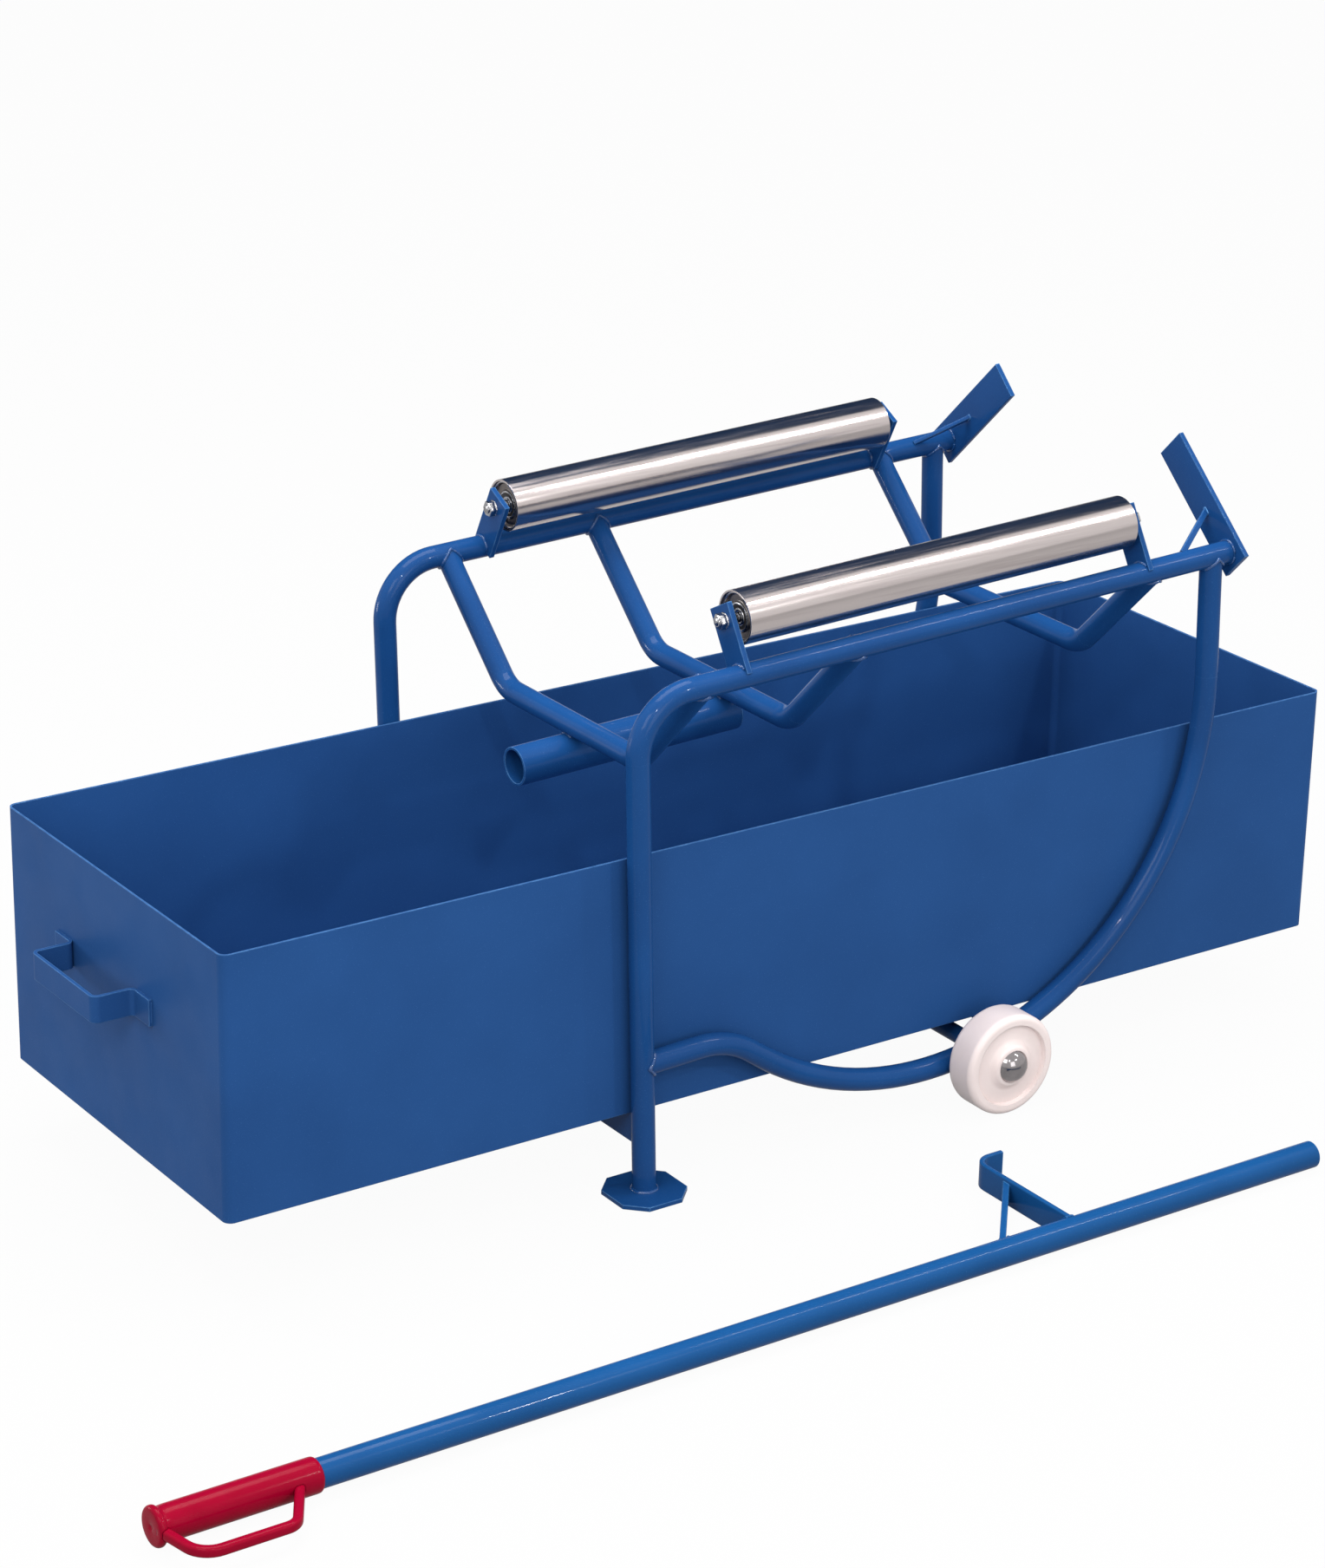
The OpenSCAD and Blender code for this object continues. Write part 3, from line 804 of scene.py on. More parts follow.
@dataclass
class WeldGun:
    """Lays painted weld beads and keeps them until a group is joined.

    The ripples of a ring are triples of height, waves round the tube and phase.
    """

    bead_r: float = 2.6
    laid: list[bpy.types.Object] = field(default_factory=list)
    ring_steps: int = 72
    bead_steps: int = 10
    run_step: float = 1.2
    ripples: tuple[Triple, ...] = ((0.28, 26.0, 0.0), (0.2, 7.0, 1.3))
    run_ripple: float = 0.12
    run_waves: float = 1.1
    bluntness: int = 6

    def ring(self, matrix: Matrix, tube_r: float = TUBE_R, main_r: float | None = TUBE_R) -> None:
        """Lays a bead round a tube that meets a plate or another tube.

        Args:
            matrix: Puts the joined tube's end at the origin, its axis along z
                away from the joint, the main tube along x.
            tube_r: Radius of the joined tube.
            main_r: Radius of the main tube, or none for a plate.
        """
        deselect()
        bpy.ops.mesh.primitive_torus_add(
            major_radius=tube_r,
            minor_radius=self.bead_r,
            major_segments=self.ring_steps,
            minor_segments=self.bead_steps,
        )
        obj = named("bead")
        for vertex in obj.data.vertices:
            angle = math.atan2(vertex.co.y, vertex.co.x)
            across = tube_r * math.sin(angle)
            rise = 0.0 if main_r is None else math.sqrt(max(main_r**2 - across**2, 1.0))
            ripple = sum(high * math.sin(angle * waves + lag) for high, waves, lag in self.ripples)
            out = Vector((vertex.co.x, vertex.co.y, 0.0)).normalized()
            vertex.co += out * ripple
            vertex.co.z += rise
        obj.data.transform(matrix)
        self.laid.append(obj)

    def run(self, start: Sequence[float], end: Sequence[float], matrix: Matrix) -> None:
        """Lays a straight bead between two points.

        Args:
            start: Where it starts.
            end: Where it ends.
            matrix: From those places to the row frame.
        """
        a, b = Vector(start), Vector(end)
        length = (b - a).length
        deselect()
        rings = max(12, int(length / self.run_step))
        bpy.ops.mesh.primitive_uv_sphere_add(
            segments=self.bead_steps, ring_count=rings, radius=1.0
        )
        obj = named("bead")
        for vertex in obj.data.vertices:
            along = max(-1.0, min(1.0, vertex.co.z))
            flat = Vector((vertex.co.x, vertex.co.y)).length
            blunt = (1.0 - abs(along) ** self.bluntness) ** (1 / self.bluntness)
            round_r = blunt * self.bead_r
            ripple = 1.0 + self.run_ripple * math.sin(along * length * self.run_waves)
            scale = 0.0 if flat < 1e-6 else round_r * ripple / flat
            vertex.co.x *= scale
            vertex.co.y *= scale
            vertex.co.z = along * length / 2
        turn = Vector((0, 0, 1)).rotation_difference((b - a).normalized()).to_matrix().to_4x4()
        obj.data.transform(matrix @ Matrix.Translation((a + b) / 2) @ turn)
        self.laid.append(obj)

    def curl(self, matrix: Matrix, radius: float, start_deg: float, end_deg: float) -> None:
        """Lays a bead part of the way round a tube.

        The bend mirrors the bead, so its faces point inwards.

        Args:
            matrix: Puts the tube's axis along x, through the bead's plane x = 0.
            radius: Distance of the bead from the axis.
            start_deg: Angle where it starts, from y towards z.
            end_deg: Angle where it ends.
        """
        span = math.radians(end_deg - start_deg)
        half = span * radius / 2
        self.run((0.0, 0.0, -half), (0.0, 0.0, half), Matrix.Identity(4))
        obj = self.laid[-1]
        for vertex in obj.data.vertices:
            angle = math.radians(start_deg) + span / 2 + vertex.co.z / radius
            reach = radius + vertex.co.x
            vertex.co = Vector((vertex.co.y, reach * math.cos(angle), reach * math.sin(angle)))
        obj.data.transform(matrix)

    def group(self, name: str, body: Body, finish: bpy.types.Material) -> bpy.types.Object:
        """Joins the beads laid so far into one painted piece.

        Args:
            name: The piece's name.
            body: The body it rides on.
            finish: Its paint.

        Returns:
            The piece.
        """
        obj = join(name, self.laid)
        self.laid = []
        bpy.ops.object.shade_smooth()
        paint(obj, finish)
        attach(obj, body.value)
        return obj


@dataclass
class TubeFrame:
    """The welded blue tube frame, its feet, cradles, stops and rests."""

    datum: Datum
    cradle_x: tuple[float, ...] = (84.0, 284.0, 694.0)
    cradle_arm_deg: float = 45.0
    rocker_rear_x: float = 778.0
    rocker_join_z: float = 153.0
    foot_t: float = 5.0
    bracket_x: tuple[float, ...] = (130.0, 676.0)
    stop_t: float = 6.0
    stop_w: float = 45.0
    stop_span: Pair = (-20.0, 145.0)
    stop_edge_r: float = 0.9
    stop_lean_deg: float = 46.0
    brace_foot: Pair = (743.0, 12.0)
    brace_rise: float = 56.0
    brace_w: float = 7.0
    brace_t: float = 5.0
    brace_edge_r: float = 1.2
    socket_z: float = 410.0
    socket_r: float = 22.0
    small_bead_r: float = 1.8
    bead_gap: float = 0.8
    bead_lift: float = 0.4
    bracket_bead_deg: float = 66.0
    rail_bead_deg: float = 170.0
    socket_bead_r: float = 2.2
    socket_bead_x: float = 6.5
    socket_bead_y: float = 9.0
    socket_bead_sink: float = 1.5
    blue: bpy.types.Material = field(default_factory=FRAME_BLUE.material)
    wet: bpy.types.Material = field(default_factory=WELD_BLUE.material)

    def dress(self) -> None:
        """Paints the frame's own nodes."""
        for name in frame["record"]["behaviour"]["bodies"]["frame"]:
            paint(frame["nodes"][name], self.blue)

    def stop(self, side: Side) -> None:
        """Shapes one leaning stop bar with its thin brace.

        Args:
            side: Which side.
        """
        lean = Matrix.Rotation(side.value * math.radians(self.stop_lean_deg), 4, "X")
        place = self.datum.sloped() @ Matrix.Translation((0.0, side.value * FRAME_Y, RAIL_Z))
        middle = RAIL_LEN + self.stop_t / 2
        line = [(middle, z) for z in self.stop_span]
        bar = bent_bar("bar", line, (), self.stop_t, self.stop_w, self.stop_edge_r)
        line = [self.brace_foot, (middle, self.brace_rise)]
        brace = bent_bar("brace", line, (), self.brace_w, self.brace_t, self.brace_edge_r)
        obj = join(f"stop_bar_{side.word}", [bar, brace])
        settle(obj, place @ lean @ Matrix.Rotation(math.pi / 2, 4, "X"))
        paint(obj, self.blue)
        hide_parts(f"stop_{side.word}")
        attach(obj, Body.FRAME.value)

    def weld(self, side: Side) -> None:
        """Lays the beads of one side of the frame.

        Args:
            side: Which side.
        """
        gun = WeldGun()
        slope, level = self.datum.sloped(), self.datum.level()
        y = side.value * FRAME_Y
        inwards = Matrix.Rotation(side.value * math.radians(90 + self.cradle_arm_deg), 4, "X")
        for x in self.cradle_x:
            gun.ring(slope @ Matrix.Translation((x, y, RAIL_Z)) @ inwards)
        downwards = Matrix.Rotation(math.pi, 4, "X")
        gun.ring(slope @ Matrix.Translation((self.rocker_rear_x, y, RAIL_Z)) @ downwards)
        upright = Matrix.Rotation(math.pi / 2, 4, "Y")
        gun.ring(slope @ Matrix.Translation((0.0, y, self.rocker_join_z)) @ upright)
        gun.ring(level @ Matrix.Translation((0.0, y, self.foot_t)), main_r=None)
        lean = math.degrees(math.atan2(FRAME_Y - ROLLER_Y, ROLLER_Z - RAIL_Z))
        facing = 90.0 + side.value * lean
        start, end = facing - self.bracket_bead_deg, facing + self.bracket_bead_deg
        small = WeldGun(bead_r=self.small_bead_r, laid=gun.laid)
        bead_at = TUBE_R + self.bead_lift
        for x in self.bracket_x:
            for face in (x - self.bead_gap, x + BRACKET_T + self.bead_gap):
                small.curl(slope @ Matrix.Translation((face, y, RAIL_Z)), bead_at, start, end)
        rail_end = slope @ Matrix.Translation((RAIL_LEN - self.bead_gap, y, RAIL_Z))
        small.curl(rail_end, bead_at, -self.rail_bead_deg, self.rail_bead_deg)
        gun.group(f"weld_beads_{side.word}", Body.FRAME, self.wet)

    def weld_socket(self) -> None:
        """Lays the beads between the lever socket and the cradle tubes over it."""
        gun = WeldGun(bead_r=self.socket_bead_r)
        top = self.socket_z + self.socket_r - self.socket_bead_sink
        for x in self.cradle_x[:2]:
            for way in (-1, 1):
                line = x + way * self.socket_bead_x
                start, end = (line, -self.socket_bead_y, top), (line, self.socket_bead_y, top)
                gun.run(start, end, self.datum.sloped())
        gun.group("weld_beads_socket", Body.FRAME, self.wet)

    def build(self) -> None:
        """Paints and welds the frame."""
        self.dress()
        for side in Side:
            self.stop(side)
            self.weld(side)
        self.weld_socket()
        LOG.info("frame painted and welded")


@dataclass
class RollerSet:
    """One roller: bright shell, pressed cups with bearings, axle nuts."""

    datum: Datum
    side: Side
    steel: bpy.types.Material
    cup: bpy.types.Material
    seal: bpy.types.Material
    zinc: bpy.types.Material
    roller_x: float = 144.0
    roller_len: float = 524.0
    shell_r: float = 28.0
    axle_r: float = 5.0
    inset: float = 3.0
    seal_span: Pair = (9.6, 13.7)
    ring_r: float = 16.6
    lip_w: float = 2.6
    bracket_gap: float = 8.0
    nut_w: float = 16.0
    nut_h: float = 8.0
    nut_edge: float = 0.5
    lock_nut_h: float = 5.0
    stub: float = 2.0
    thread_depth: float = 0.5

    def end_matrix(self, x: float, outward: int) -> Matrix:
        """Places an end piece drawn with x outwards from the roller.

        Args:
            x: Where along the cradle its zero lies.
            outward: Way of its x, 1 or -1 along the cradle.

        Returns:
            From its own millimetres to the row frame.
        """
        y = self.side.value * ROLLER_Y
        turn = Matrix.Identity(4) if outward > 0 else Matrix.Rotation(math.pi, 4, "Z")
        return self.datum.sloped() @ Matrix.Translation((x, y, ROLLER_Z)) @ turn

    def cup_piece(self, name: str) -> bpy.types.Object:
        """Turns the pressed cup with its bearing, from the shell to the axle.

        Args:
            name: The piece's name.

        Returns:
            The cup, painted, in millimetres.
        """
        r, a, d = self.shell_r, self.axle_r, self.inset
        lip = [(-d - 3.0, r), (-d - 0.2, r), (-d + 0.6, r - 0.8), (-d + 0.6, r - 1.8)]
        dish = [(-d - 0.4, r - 2.8), (-d - 3.4, r - 4.0), (-d - 3.8, 17.4), (-d - 3.0, 16.4)]
        race = [(-d - 1.4, 16.0), (-d - 1.0, 15.4), (-d - 1.0, 14.2)]
        seal = [(-d - 1.8, 13.6), (-d - 1.8, 9.8)]
        bore = [(-d - 1.0, 9.2), (-d - 0.6, 8.4), (-d - 0.6, a + 1.4), (-d - 1.2, a + 0.4)]
        back = [(-d - 9.0, a + 0.4), (-d - 9.0, r), (-d - 3.0, r)]
        profile = lip + dish + race + seal + bore + back
        obj = lathe(name, profile, 72)
        paint(obj, self.cup, self.seal, self.zinc)
        inner, outer = self.seal_span
        for face in obj.data.polygons:
            spread = [Vector((0.0, *obj.data.vertices[i].co[1:])).length for i in face.vertices]
            middle = sum(spread) / len(spread)
            if inner < middle < outer:
                face.material_index = 1
            elif middle < self.ring_r or middle > r - self.lip_w:
                face.material_index = 2
        return obj

    def nut(self, name: str, height: float) -> bpy.types.Object:
        """Shapes one hexagon nut with chamfered corners, its seat at x = 0.

        Args:
            name: The nut's name.
            height: Its height.

        Returns:
            The nut, in millimetres.
        """
        deselect()
        corner_r = self.nut_w / 2 / math.cos(math.pi / 6)
        bpy.ops.mesh.primitive_cylinder_add(
            vertices=6,
            radius=corner_r,
            depth=height,
            location=(height / 2, 0, 0),
            rotation=(0, math.pi / 2, 0),
        )
        obj = named(name)
        bpy.ops.object.transform_apply(location=True, rotation=True, scale=True)
        bpy.ops.object.mode_set(mode="EDIT")
        bpy.ops.mesh.select_all(action="SELECT")
        bpy.ops.mesh.bevel(offset=self.nut_edge, segments=2, affect="EDGES")
        bpy.ops.object.mode_set(mode="OBJECT")
        return tidy_shell(obj, 25.0)

    def stub_piece(self, name: str, length: float) -> bpy.types.Object:
        """Turns the axle's threaded end, from x = 0 outwards.

        Args:
            name: The piece's name.
            length: Its length.

        Returns:
            The threaded end, in millimetres.
        """
        a = self.axle_r
        profile = [(0.0, 0.0), (0.0, a - 0.3)]
        turns = max(2, int(length))
        for i in range(turns):
            x = length * i / turns
            crest, root = x + 0.25 * length / turns, x + 0.75 * length / turns
            profile += [(crest, a), (root, a - self.thread_depth)]
        profile += [(length, a - 0.9), (length, 0.0)]
        return lathe(name, profile, 32)

    def washer(self, name: str) -> bpy.types.Object:
        """Turns a plain washer that lies against the bracket.

        Args:
            name: The washer's name.

        Returns:
            The washer, in millimetres.
        """
        r, bore = self.nut_w / 2 + 1.2, self.axle_r
        rim = [(0.0, r), (0.5, r + 0.1), (1.1, r - 0.4)]
        profile = [(0.0, bore), *rim, (1.1, bore), (0.0, bore)]
        return lathe(name, profile, 48)

    def build(self) -> None:
        """Dresses the shell and adds cups, nuts and axle ends at both ends."""
        word = self.side.word
        body = Body("roller_" + word)
        paint(frame["nodes"][f"roller_shell_{word}"], self.steel)
        paint(frame["nodes"][f"roller_axle_{word}"], self.zinc)
        ends = ((self.roller_x, -1, "front"), (self.roller_x + self.roller_len, 1, "rear"))
        cup = self.cup_piece(f"bearing_cup_{word}_front")
        copies = [cup, copy_of(cup, f"bearing_cup_{word}_rear")]
        for obj, (x, outward, _) in zip(copies, ends):
            settle(obj, self.end_matrix(x, outward))
            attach(obj, body.value)
        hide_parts(f"roller_bearings_{word}")
        shown = []
        for x, outward, place in ends:
            inner = x + outward * self.bracket_gap
            outer = inner + outward * BRACKET_T
            parts = [self.nut("nut", self.nut_h), self.washer("washer")]
            parts.append(self.stub_piece("stub", self.nut_h + self.stub))
            outside = join(f"nut_outside_{word}_{place}", parts)
            settle(outside, self.end_matrix(outer, outward))
            lock = self.nut(f"nut_inside_{word}_{place}", self.lock_nut_h)
            settle(lock, self.end_matrix(inner, -outward))
            shown += [outside, lock]
        for obj in shown:
            paint(obj, self.zinc)
            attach(obj, Body.FRAME.value)
        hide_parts(f"roller_nuts_{word}")
        LOG.info("roller %s dressed", word)


@dataclass
class WheelSet:
    """Nylon wheels, their painted axle, washers and domed caps.

    The near hub's closed profile starts inside the CAD wheel's web.
    """

    datum: Datum
    nylon: bpy.types.Material
    dome: bpy.types.Material
    zinc: bpy.types.Material
    blue: bpy.types.Material
    axle_x: float = 457.0
    axle_z: float = 60.0
    face_y: float = 315.95
    hub_profile: tuple[Pair, ...] = (
        (-13.0, 10.2),
        (-13.0, 44.0),
        (-5.8, 47.2),
        (-5.4, 46.0),
        (-5.2, 31.5),
        (-4.2, 28.0),
        (0.6, 24.0),
        (1.8, 22.9),
        (2.2, 21.4),
        (2.2, 10.2),
        (-13.0, 10.2),
    )
    cap_r: float = 19.3
    cap_h: float = 12.0
    cap_base: float = 2.4

    def hub(self) -> None:
        """Fits the near wheel's standing hub and its domed cap."""
        at = Matrix.Translation((self.axle_x, -self.face_y, self.axle_z))
        place = self.datum.level() @ at @ Matrix.Rotation(-math.pi / 2, 4, "Z")
        boss = paint(settle(lathe("hub_boss_near", self.hub_profile), place), self.nylon)
        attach(boss, Body.WHEEL_NEAR.value)
        dome_r = (self.cap_r**2 + self.cap_h**2) / (2 * self.cap_h)
        reach = math.degrees(math.asin(self.cap_r / dome_r))
        dome = arc((self.cap_base + self.cap_h - dome_r, 0.0), dome_r, reach, 0.0, 14)
        base = [(self.cap_base, 0.0), (self.cap_base, self.cap_r)]
        cap = lathe("hub_dome_near", base + dome[1:])
        paint(settle(cap, place), self.dome)
        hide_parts("hub_cap_near")
        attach(cap, Body.FRAME.value)

    def build(self) -> None:
        """Dresses the wheels and what holds them."""
        for side in Side:
            paint(frame["nodes"][f"wheel_{side.word}"], self.nylon)
        self.hub()
        paint(frame["nodes"]["hub_cap_far"], self.dome)
        paint(frame["nodes"]["wheel_axle"], self.blue)
        paint(frame["nodes"]["axle_washers"], self.zinc)
        LOG.info("wheels dressed")


@dataclass
class Tray:
    """The loose collecting tray and its strap handle."""

    datum: Datum
    front: float = -500.0
    handle_y: float = 18.0
    handle_z: float = 268.5
    handle_half: float = 71.0
    foot_len: float = 30.0
    strap_h: float = 30.0
    bead_r: float = 1.6
    bead_gap: float = 4.0
    bead_inset: float = 3.0
    bead_sink: float = 0.6
    blue: bpy.types.Material = field(default_factory=TRAY_BLUE.material)

    def build(self) -> None:
        """Paints the tray and welds its handle."""
        paint(frame["nodes"]["tray_pan"], self.blue)
        paint(frame["nodes"]["tray_handle"], self.blue)
        gun = WeldGun(bead_r=self.bead_r)
        x, half = self.front - self.bead_sink, self.strap_h / 2 - self.bead_inset
        low, high = self.handle_z - half, self.handle_z + half
        for way in (-1, 1):
            y = self.handle_y + way * (self.handle_half + self.foot_len + self.bead_gap)
            gun.run((x, y, low), (x, y, high), self.datum.level())
        gun.group("weld_beads_tray_handle", Body.TRAY, self.blue)
        LOG.info("tray painted")


@dataclass
class Lever:
    """The loose tipping lever: tube, hook and moulded grip."""

    place: LeverPlace
    datum: Datum
    grip_len: float = 176.0
    grip_r: float = 18.0
    guard_start: float = 16.0
    guard_reach: float = 68.0
    guard_len: float = 100.0
    guard_back: float = 36.0
    guard_root: float = -10.0
    guard_bends: Pair = (26.0, 18.0)
    guard_w: float = 10.0
    guard_h: float = 11.0
    guard_edge_r: float = 3.6
    bore_gap: float = 0.1
    hook_x: float = 1095.0
    hook_h: float = 30.0
    hook_t: float = 6.0
    hook_root: float = 6.0
    hook_reach: float = 169.0
    hook_toe: float = 40.0
    hook_bend_r: float = 19.0
    hook_edge_r: float = 1.6
    brace_foot: Pair = (-88.3, 6.0)
    brace_y: float = 112.0
    brace_t: float = 7.0
    brace_h: float = 22.0
    brace_edge_r: float = 1.2
    bead_r: float = 1.8
    bead_lift: float = 0.3
    hook_bead_gap: float = 0.6
    hook_bead_deg: float = 70.0
    brace_bead_x: float = 7.7
    brace_bead_gap: float = 5.4
    brace_bead_deg: float = 42.0
    blue: bpy.types.Material = field(default_factory=LEVER_BLUE.material)
    red: bpy.types.Material = field(default_factory=GRIP_RED.material)

    def grip(self) -> bpy.types.Object:
        """Shapes the grip with its rounded flange, closed end and hand guard.

        Its body is open at the bore's inner end, and its faces point inwards.

        Returns:
            The grip, in its place.
        """
        r, f, t = self.grip_r, self.place.flange_r, self.place.flange_t
        profile = [(0.9, 0.0), (0.9, 2.0), (0.3, 3.2), (0.0, 4.5), (0.0, f - 4.0)]
        profile += arc((4.0, f - 4.0), 4.0, 180, 90, 5)[1:]
        profile += arc((t - 3.0, f - 3.0), 3.0, 90, 20, 4)
        profile += [(t + 0.6, r + 0.2), (t + 2.5, r - 0.3), (t + 8.0, r), (self.grip_len - 5.0, r)]
        profile += arc((self.grip_len - 4.0, r - 4.0), 4.0, 90, 10, 4)[1:]
        bore = self.place.tube_r + self.bore_gap
        profile += [(self.grip_len, bore), (self.grip_len - 8.0, bore)]
        body = lathe("grip_body", profile, 72)
        near, far = self.guard_start, self.guard_start + self.guard_len
        corners = [
            (t - 3.0, self.guard_root),
            (near, -self.guard_reach),
            (far, -self.guard_reach),
            (far + self.guard_back, self.guard_root),
        ]
        section = (self.guard_w, self.guard_h, self.guard_edge_r)
        guard = bent_bar("guard", corners, self.guard_bends, *section)
        obj = join("lever_handgrip", [body, guard])
        return settle(obj, self.place.matrix(self.datum))

    def hook(self) -> bpy.types.Object:
        """Bends the flat hook bar and sets its brace.

        Returns:
            The hook, in its place.
        """
        middle = self.hook_x + self.hook_t / 2
        tip = self.hook_reach - self.hook_t / 2
        corners = [(middle, self.hook_root), (middle, tip), (self.hook_x + self.hook_toe, tip)]
        section = (self.hook_t, self.hook_h, self.hook_edge_r)
        arm = bent_bar("arm", corners, (self.hook_bend_r,), *section)
        line = [(self.hook_x + self.brace_foot[0], self.brace_foot[1]), (middle, self.brace_y)]
        brace = bent_bar("brace", line, (), self.brace_t, self.brace_h, self.brace_edge_r)
        obj = join("lever_hook_bar", [arm, brace])
        return settle(obj, self.place.matrix(self.datum))

    def weld(self) -> None:
        """Lays the beads of the hook and its brace on the tube."""
        gun = WeldGun(bead_r=self.bead_r)
        place, bead_at = self.place.matrix(self.datum), self.place.tube_r + self.bead_lift
        brace_x = self.hook_x + self.brace_foot[0] + self.brace_bead_x
        joints = (
            (self.hook_x - self.hook_bead_gap, self.hook_bead_deg),
            (self.hook_x + self.hook_t + self.hook_bead_gap, self.hook_bead_deg),
            (brace_x - self.brace_bead_gap, self.brace_bead_deg),
            (brace_x + self.brace_bead_gap, self.brace_bead_deg),
        )
        for x, half_deg in joints:
            gun.curl(place @ Matrix.Translation((x, 0, 0)), bead_at, -half_deg, half_deg)
        gun.group("weld_beads_lever", Body.LEVER, self.blue)

    def build(self) -> None:
        """Paints the tube and fits the hook and the grip."""
        paint(frame["nodes"]["lever_tube"], self.blue)
        hook = paint(self.hook(), self.blue)
        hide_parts("lever_hook")
        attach(hook, Body.LEVER.value)
        self.weld()
        grip = paint(self.grip(), self.red)
        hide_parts("lever_grip")
        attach(grip, Body.LEVER.value)
        LOG.info("lever painted and its grip fitted")


@dataclass(frozen=True)
class SoftBox:
    """One lamp: its place in the maker's millimetres, size in metres and power in watts."""

    name: str
    at: Triple
    size: Pair
    power: float


SOFT_BOXES = (
    SoftBox("key_box", (-2600.0, -1800.0, 2600.0), (1.4, 1.4), 36.0),
    SoftBox("side_box", (-2100.0, 1900.0, 520.0), (0.5, 0.5), 15.0),
    SoftBox("fill_box", (-300.0, -3900.0, 1500.0), (1.8, 1.8), 28.0),
    SoftBox("top_box", (100.0, 300.0, 3200.0), (2.4, 1.6), 90.0),
    SoftBox("streak_strip", (2300.0, -1500.0, 3000.0), (0.1, 1.2), 20.0),
    SoftBox("spark_front", (-1300.0, -2900.0, 2900.0), (0.16, 0.16), 18.0),
    SoftBox("spark_side", (1500.0, -3000.0, 2400.0), (0.16, 0.16), 18.0),
)


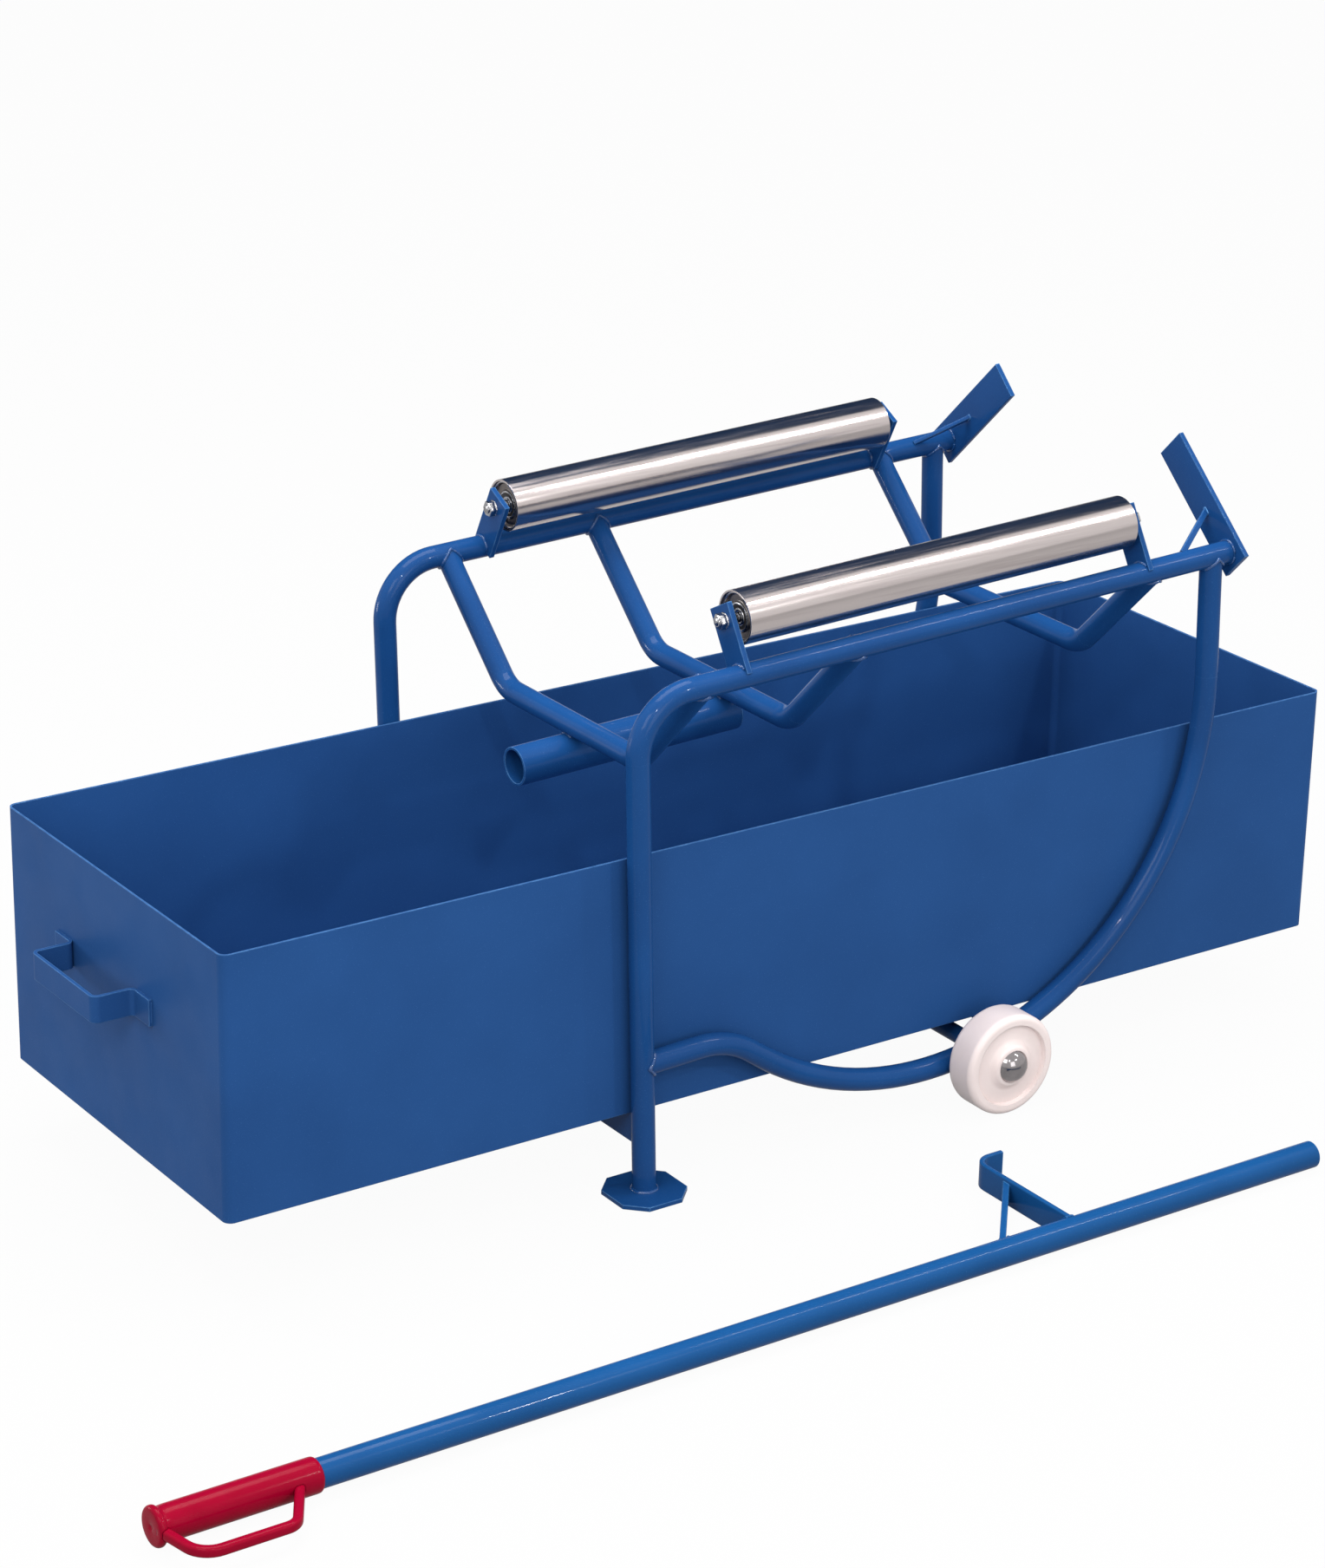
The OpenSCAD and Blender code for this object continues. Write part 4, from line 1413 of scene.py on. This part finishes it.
@dataclass
class Studio:
    """White floor and backdrop, soft boxes, and the photograph's camera."""

    datum: Datum
    camera_at: Triple = (-2296.3, -3602.5, 2059.7)
    right: Triple = (0.8267, -0.56237, 0.01755)
    down: Triple = (-0.19122, -0.31016, -0.93126)
    forward: Triple = (0.52915, 0.76652, -0.36394)
    lens_mm: float = 96.25
    sensor_mm: float = 36.0
    clip_m: Pair = (0.05, 60.0)
    floor_m: float = 160.0
    floor_grey: Colour = (0.27, 0.27, 0.27, 1.0)
    floor_glow: float = 1.03
    seen_share: float = 0.93
    mirrored_share: float = 0.45
    world_soft: float = 0.8
    world_full: float = 1.0
    card_at: Triple = (1900.0, 1950.0, 2500.0)
    card_m: Triple = (6.0, 5.6, 1.0)
    card_tilt_deg: float = -40.0
    card_blue: Colour = (0.005, 0.05, 0.16, 1.0)
    matt: float = 0.9
    aim: Triple = (100.0, -150.0, 250.0)

    def camera(self) -> None:
        """Stands the camera where the photograph was taken."""
        data = bpy.data.cameras.new("camera")
        data.lens, data.sensor_width = self.lens_mm, self.sensor_mm
        data.clip_start, data.clip_end = self.clip_m
        obj = bpy.data.objects.new("camera", data)
        bpy.context.scene.collection.objects.link(obj)
        up, back = [-v for v in self.down], [-v for v in self.forward]
        axes = Matrix((self.right, up, back)).transposed().to_4x4()
        obj.matrix_world = Matrix.Translation(self.datum.level() @ Vector(self.camera_at)) @ axes
        bpy.context.scene.camera = obj

    def floor(self) -> None:
        """Lays the pale floor, which keeps the soft shadow."""
        bpy.ops.mesh.primitive_plane_add(size=self.floor_m)
        obj = named("studio_floor")
        sheet = Sheet("floor_white")
        normal = sheet.relief(sheet.noise(40.0), 0.0002, 0.05)
        paint(obj, sheet.finish(self.floor_grey, self.matt, normal, Specular_IOR_Level=0.1))
        lit = sheet.tree
        rays = lit.nodes.new("ShaderNodeLightPath")
        glow = lit.nodes.new("ShaderNodeEmission")
        mix = lit.nodes.new("ShaderNodeMixShader")
        glow.inputs["Strength"].default_value = self.floor_glow
        mirrored = sheet.math("MULTIPLY", rays.outputs["Is Glossy Ray"], self.mirrored_share)
        seen = sheet.math("MULTIPLY", rays.outputs["Is Camera Ray"], self.seen_share)
        lit.links.new(sheet.math("MAXIMUM", seen, mirrored), mix.inputs[0])
        lit.links.new(sheet.shader.outputs["BSDF"], mix.inputs[1])
        lit.links.new(glow.outputs["Emission"], mix.inputs[2])
        lit.links.new(mix.outputs["Shader"], sheet.output.inputs["Surface"])

    def world(self) -> None:
        """A plain white surround that lights softly."""
        world = bpy.data.worlds.new("studio_white")
        bpy.context.scene.world = world
        world.use_nodes = True
        tree = world.node_tree
        back = tree.nodes["Background"]
        rays = tree.nodes.new("ShaderNodeLightPath")
        both = tree.nodes.new("ShaderNodeMath")
        both.operation = "MAXIMUM"
        every = tree.nodes.new("ShaderNodeMath")
        every.operation = "MAXIMUM"
        tree.links.new(rays.outputs["Is Camera Ray"], both.inputs[0])
        tree.links.new(rays.outputs["Is Glossy Ray"], both.inputs[1])
        tree.links.new(both.outputs[0], every.inputs[0])
        tree.links.new(rays.outputs["Is Transmission Ray"], every.inputs[1])
        level = tree.nodes.new("ShaderNodeMapRange")
        level.inputs["To Min"].default_value = self.world_soft
        level.inputs["To Max"].default_value = self.world_full
        tree.links.new(every.outputs[0], level.inputs["Value"])
        back.inputs["Color"].default_value = (1.0, 1.0, 1.0, 1.0)
        tree.links.new(level.outputs["Result"], back.inputs["Strength"])

    def card(self) -> None:
        """Hangs a dark card over the object, which only gloss and metal reflect."""
        bpy.ops.mesh.primitive_plane_add(size=1.0)
        obj = named("studio_card")
        obj.scale = self.card_m
        obj.rotation_euler = (math.radians(self.card_tilt_deg), 0.0, 0.0)
        obj.location = self.datum.level() @ Vector(self.card_at)
        bpy.ops.object.transform_apply(location=True, rotation=True, scale=True)
        sheet = Sheet("card_blue_grey")
        normal = sheet.relief(sheet.noise(30.0), 0.0002, 0.05)
        paint(obj, sheet.finish(self.card_blue, self.matt, normal))
        obj.visible_camera = False
        obj.visible_diffuse = False
        obj.visible_shadow = False

    def lamp(self, box: SoftBox) -> None:
        """Hangs one soft box that faces the object's middle.

        Args:
            box: The lamp's name, place, size and power.
        """
        data = bpy.data.lights.new(box.name, "AREA")
        data.shape = "RECTANGLE"
        data.size, data.size_y = box.size
        data.energy = box.power
        obj = bpy.data.objects.new(box.name, data)
        bpy.context.scene.collection.objects.link(obj)
        place = self.datum.level() @ Vector(box.at)
        target = self.datum.level() @ Vector(self.aim)
        obj.location = place
        obj.rotation_mode = "QUATERNION"
        obj.rotation_quaternion = (target - place).to_track_quat("-Z", "Y")

    def build(self) -> None:
        """Sets the studio up."""
        self.camera()
        self.floor()
        self.world()
        for box in SOFT_BOXES:
            self.lamp(box)
        self.card()
        bpy.context.scene.view_settings.view_transform = "Standard"
        LOG.info("studio ready")


def main() -> None:
    """Builds and dresses every sub-assembly in order."""
    logging.basicConfig(level=logging.INFO, format="%(name)s: %(message)s")
    datum = Datum.from_feet()
    zinc, cup, seal = ZINC.material(), CUP_STEEL.material(), SEAL_BLACK.material()
    steel = ROLLER_STEEL.material()
    Studio(datum).build()
    tubes = TubeFrame(datum)
    tubes.build()
    WheelSet(datum, NYLON.material(), DOME_STEEL.material(), zinc, tubes.blue).build()
    for side in Side:
        RollerSet(datum, side, steel, cup, seal, zinc).build()
    Tray(datum).build()
    Lever(LeverPlace(), datum).build()


if __name__ == "__main__":
    main()
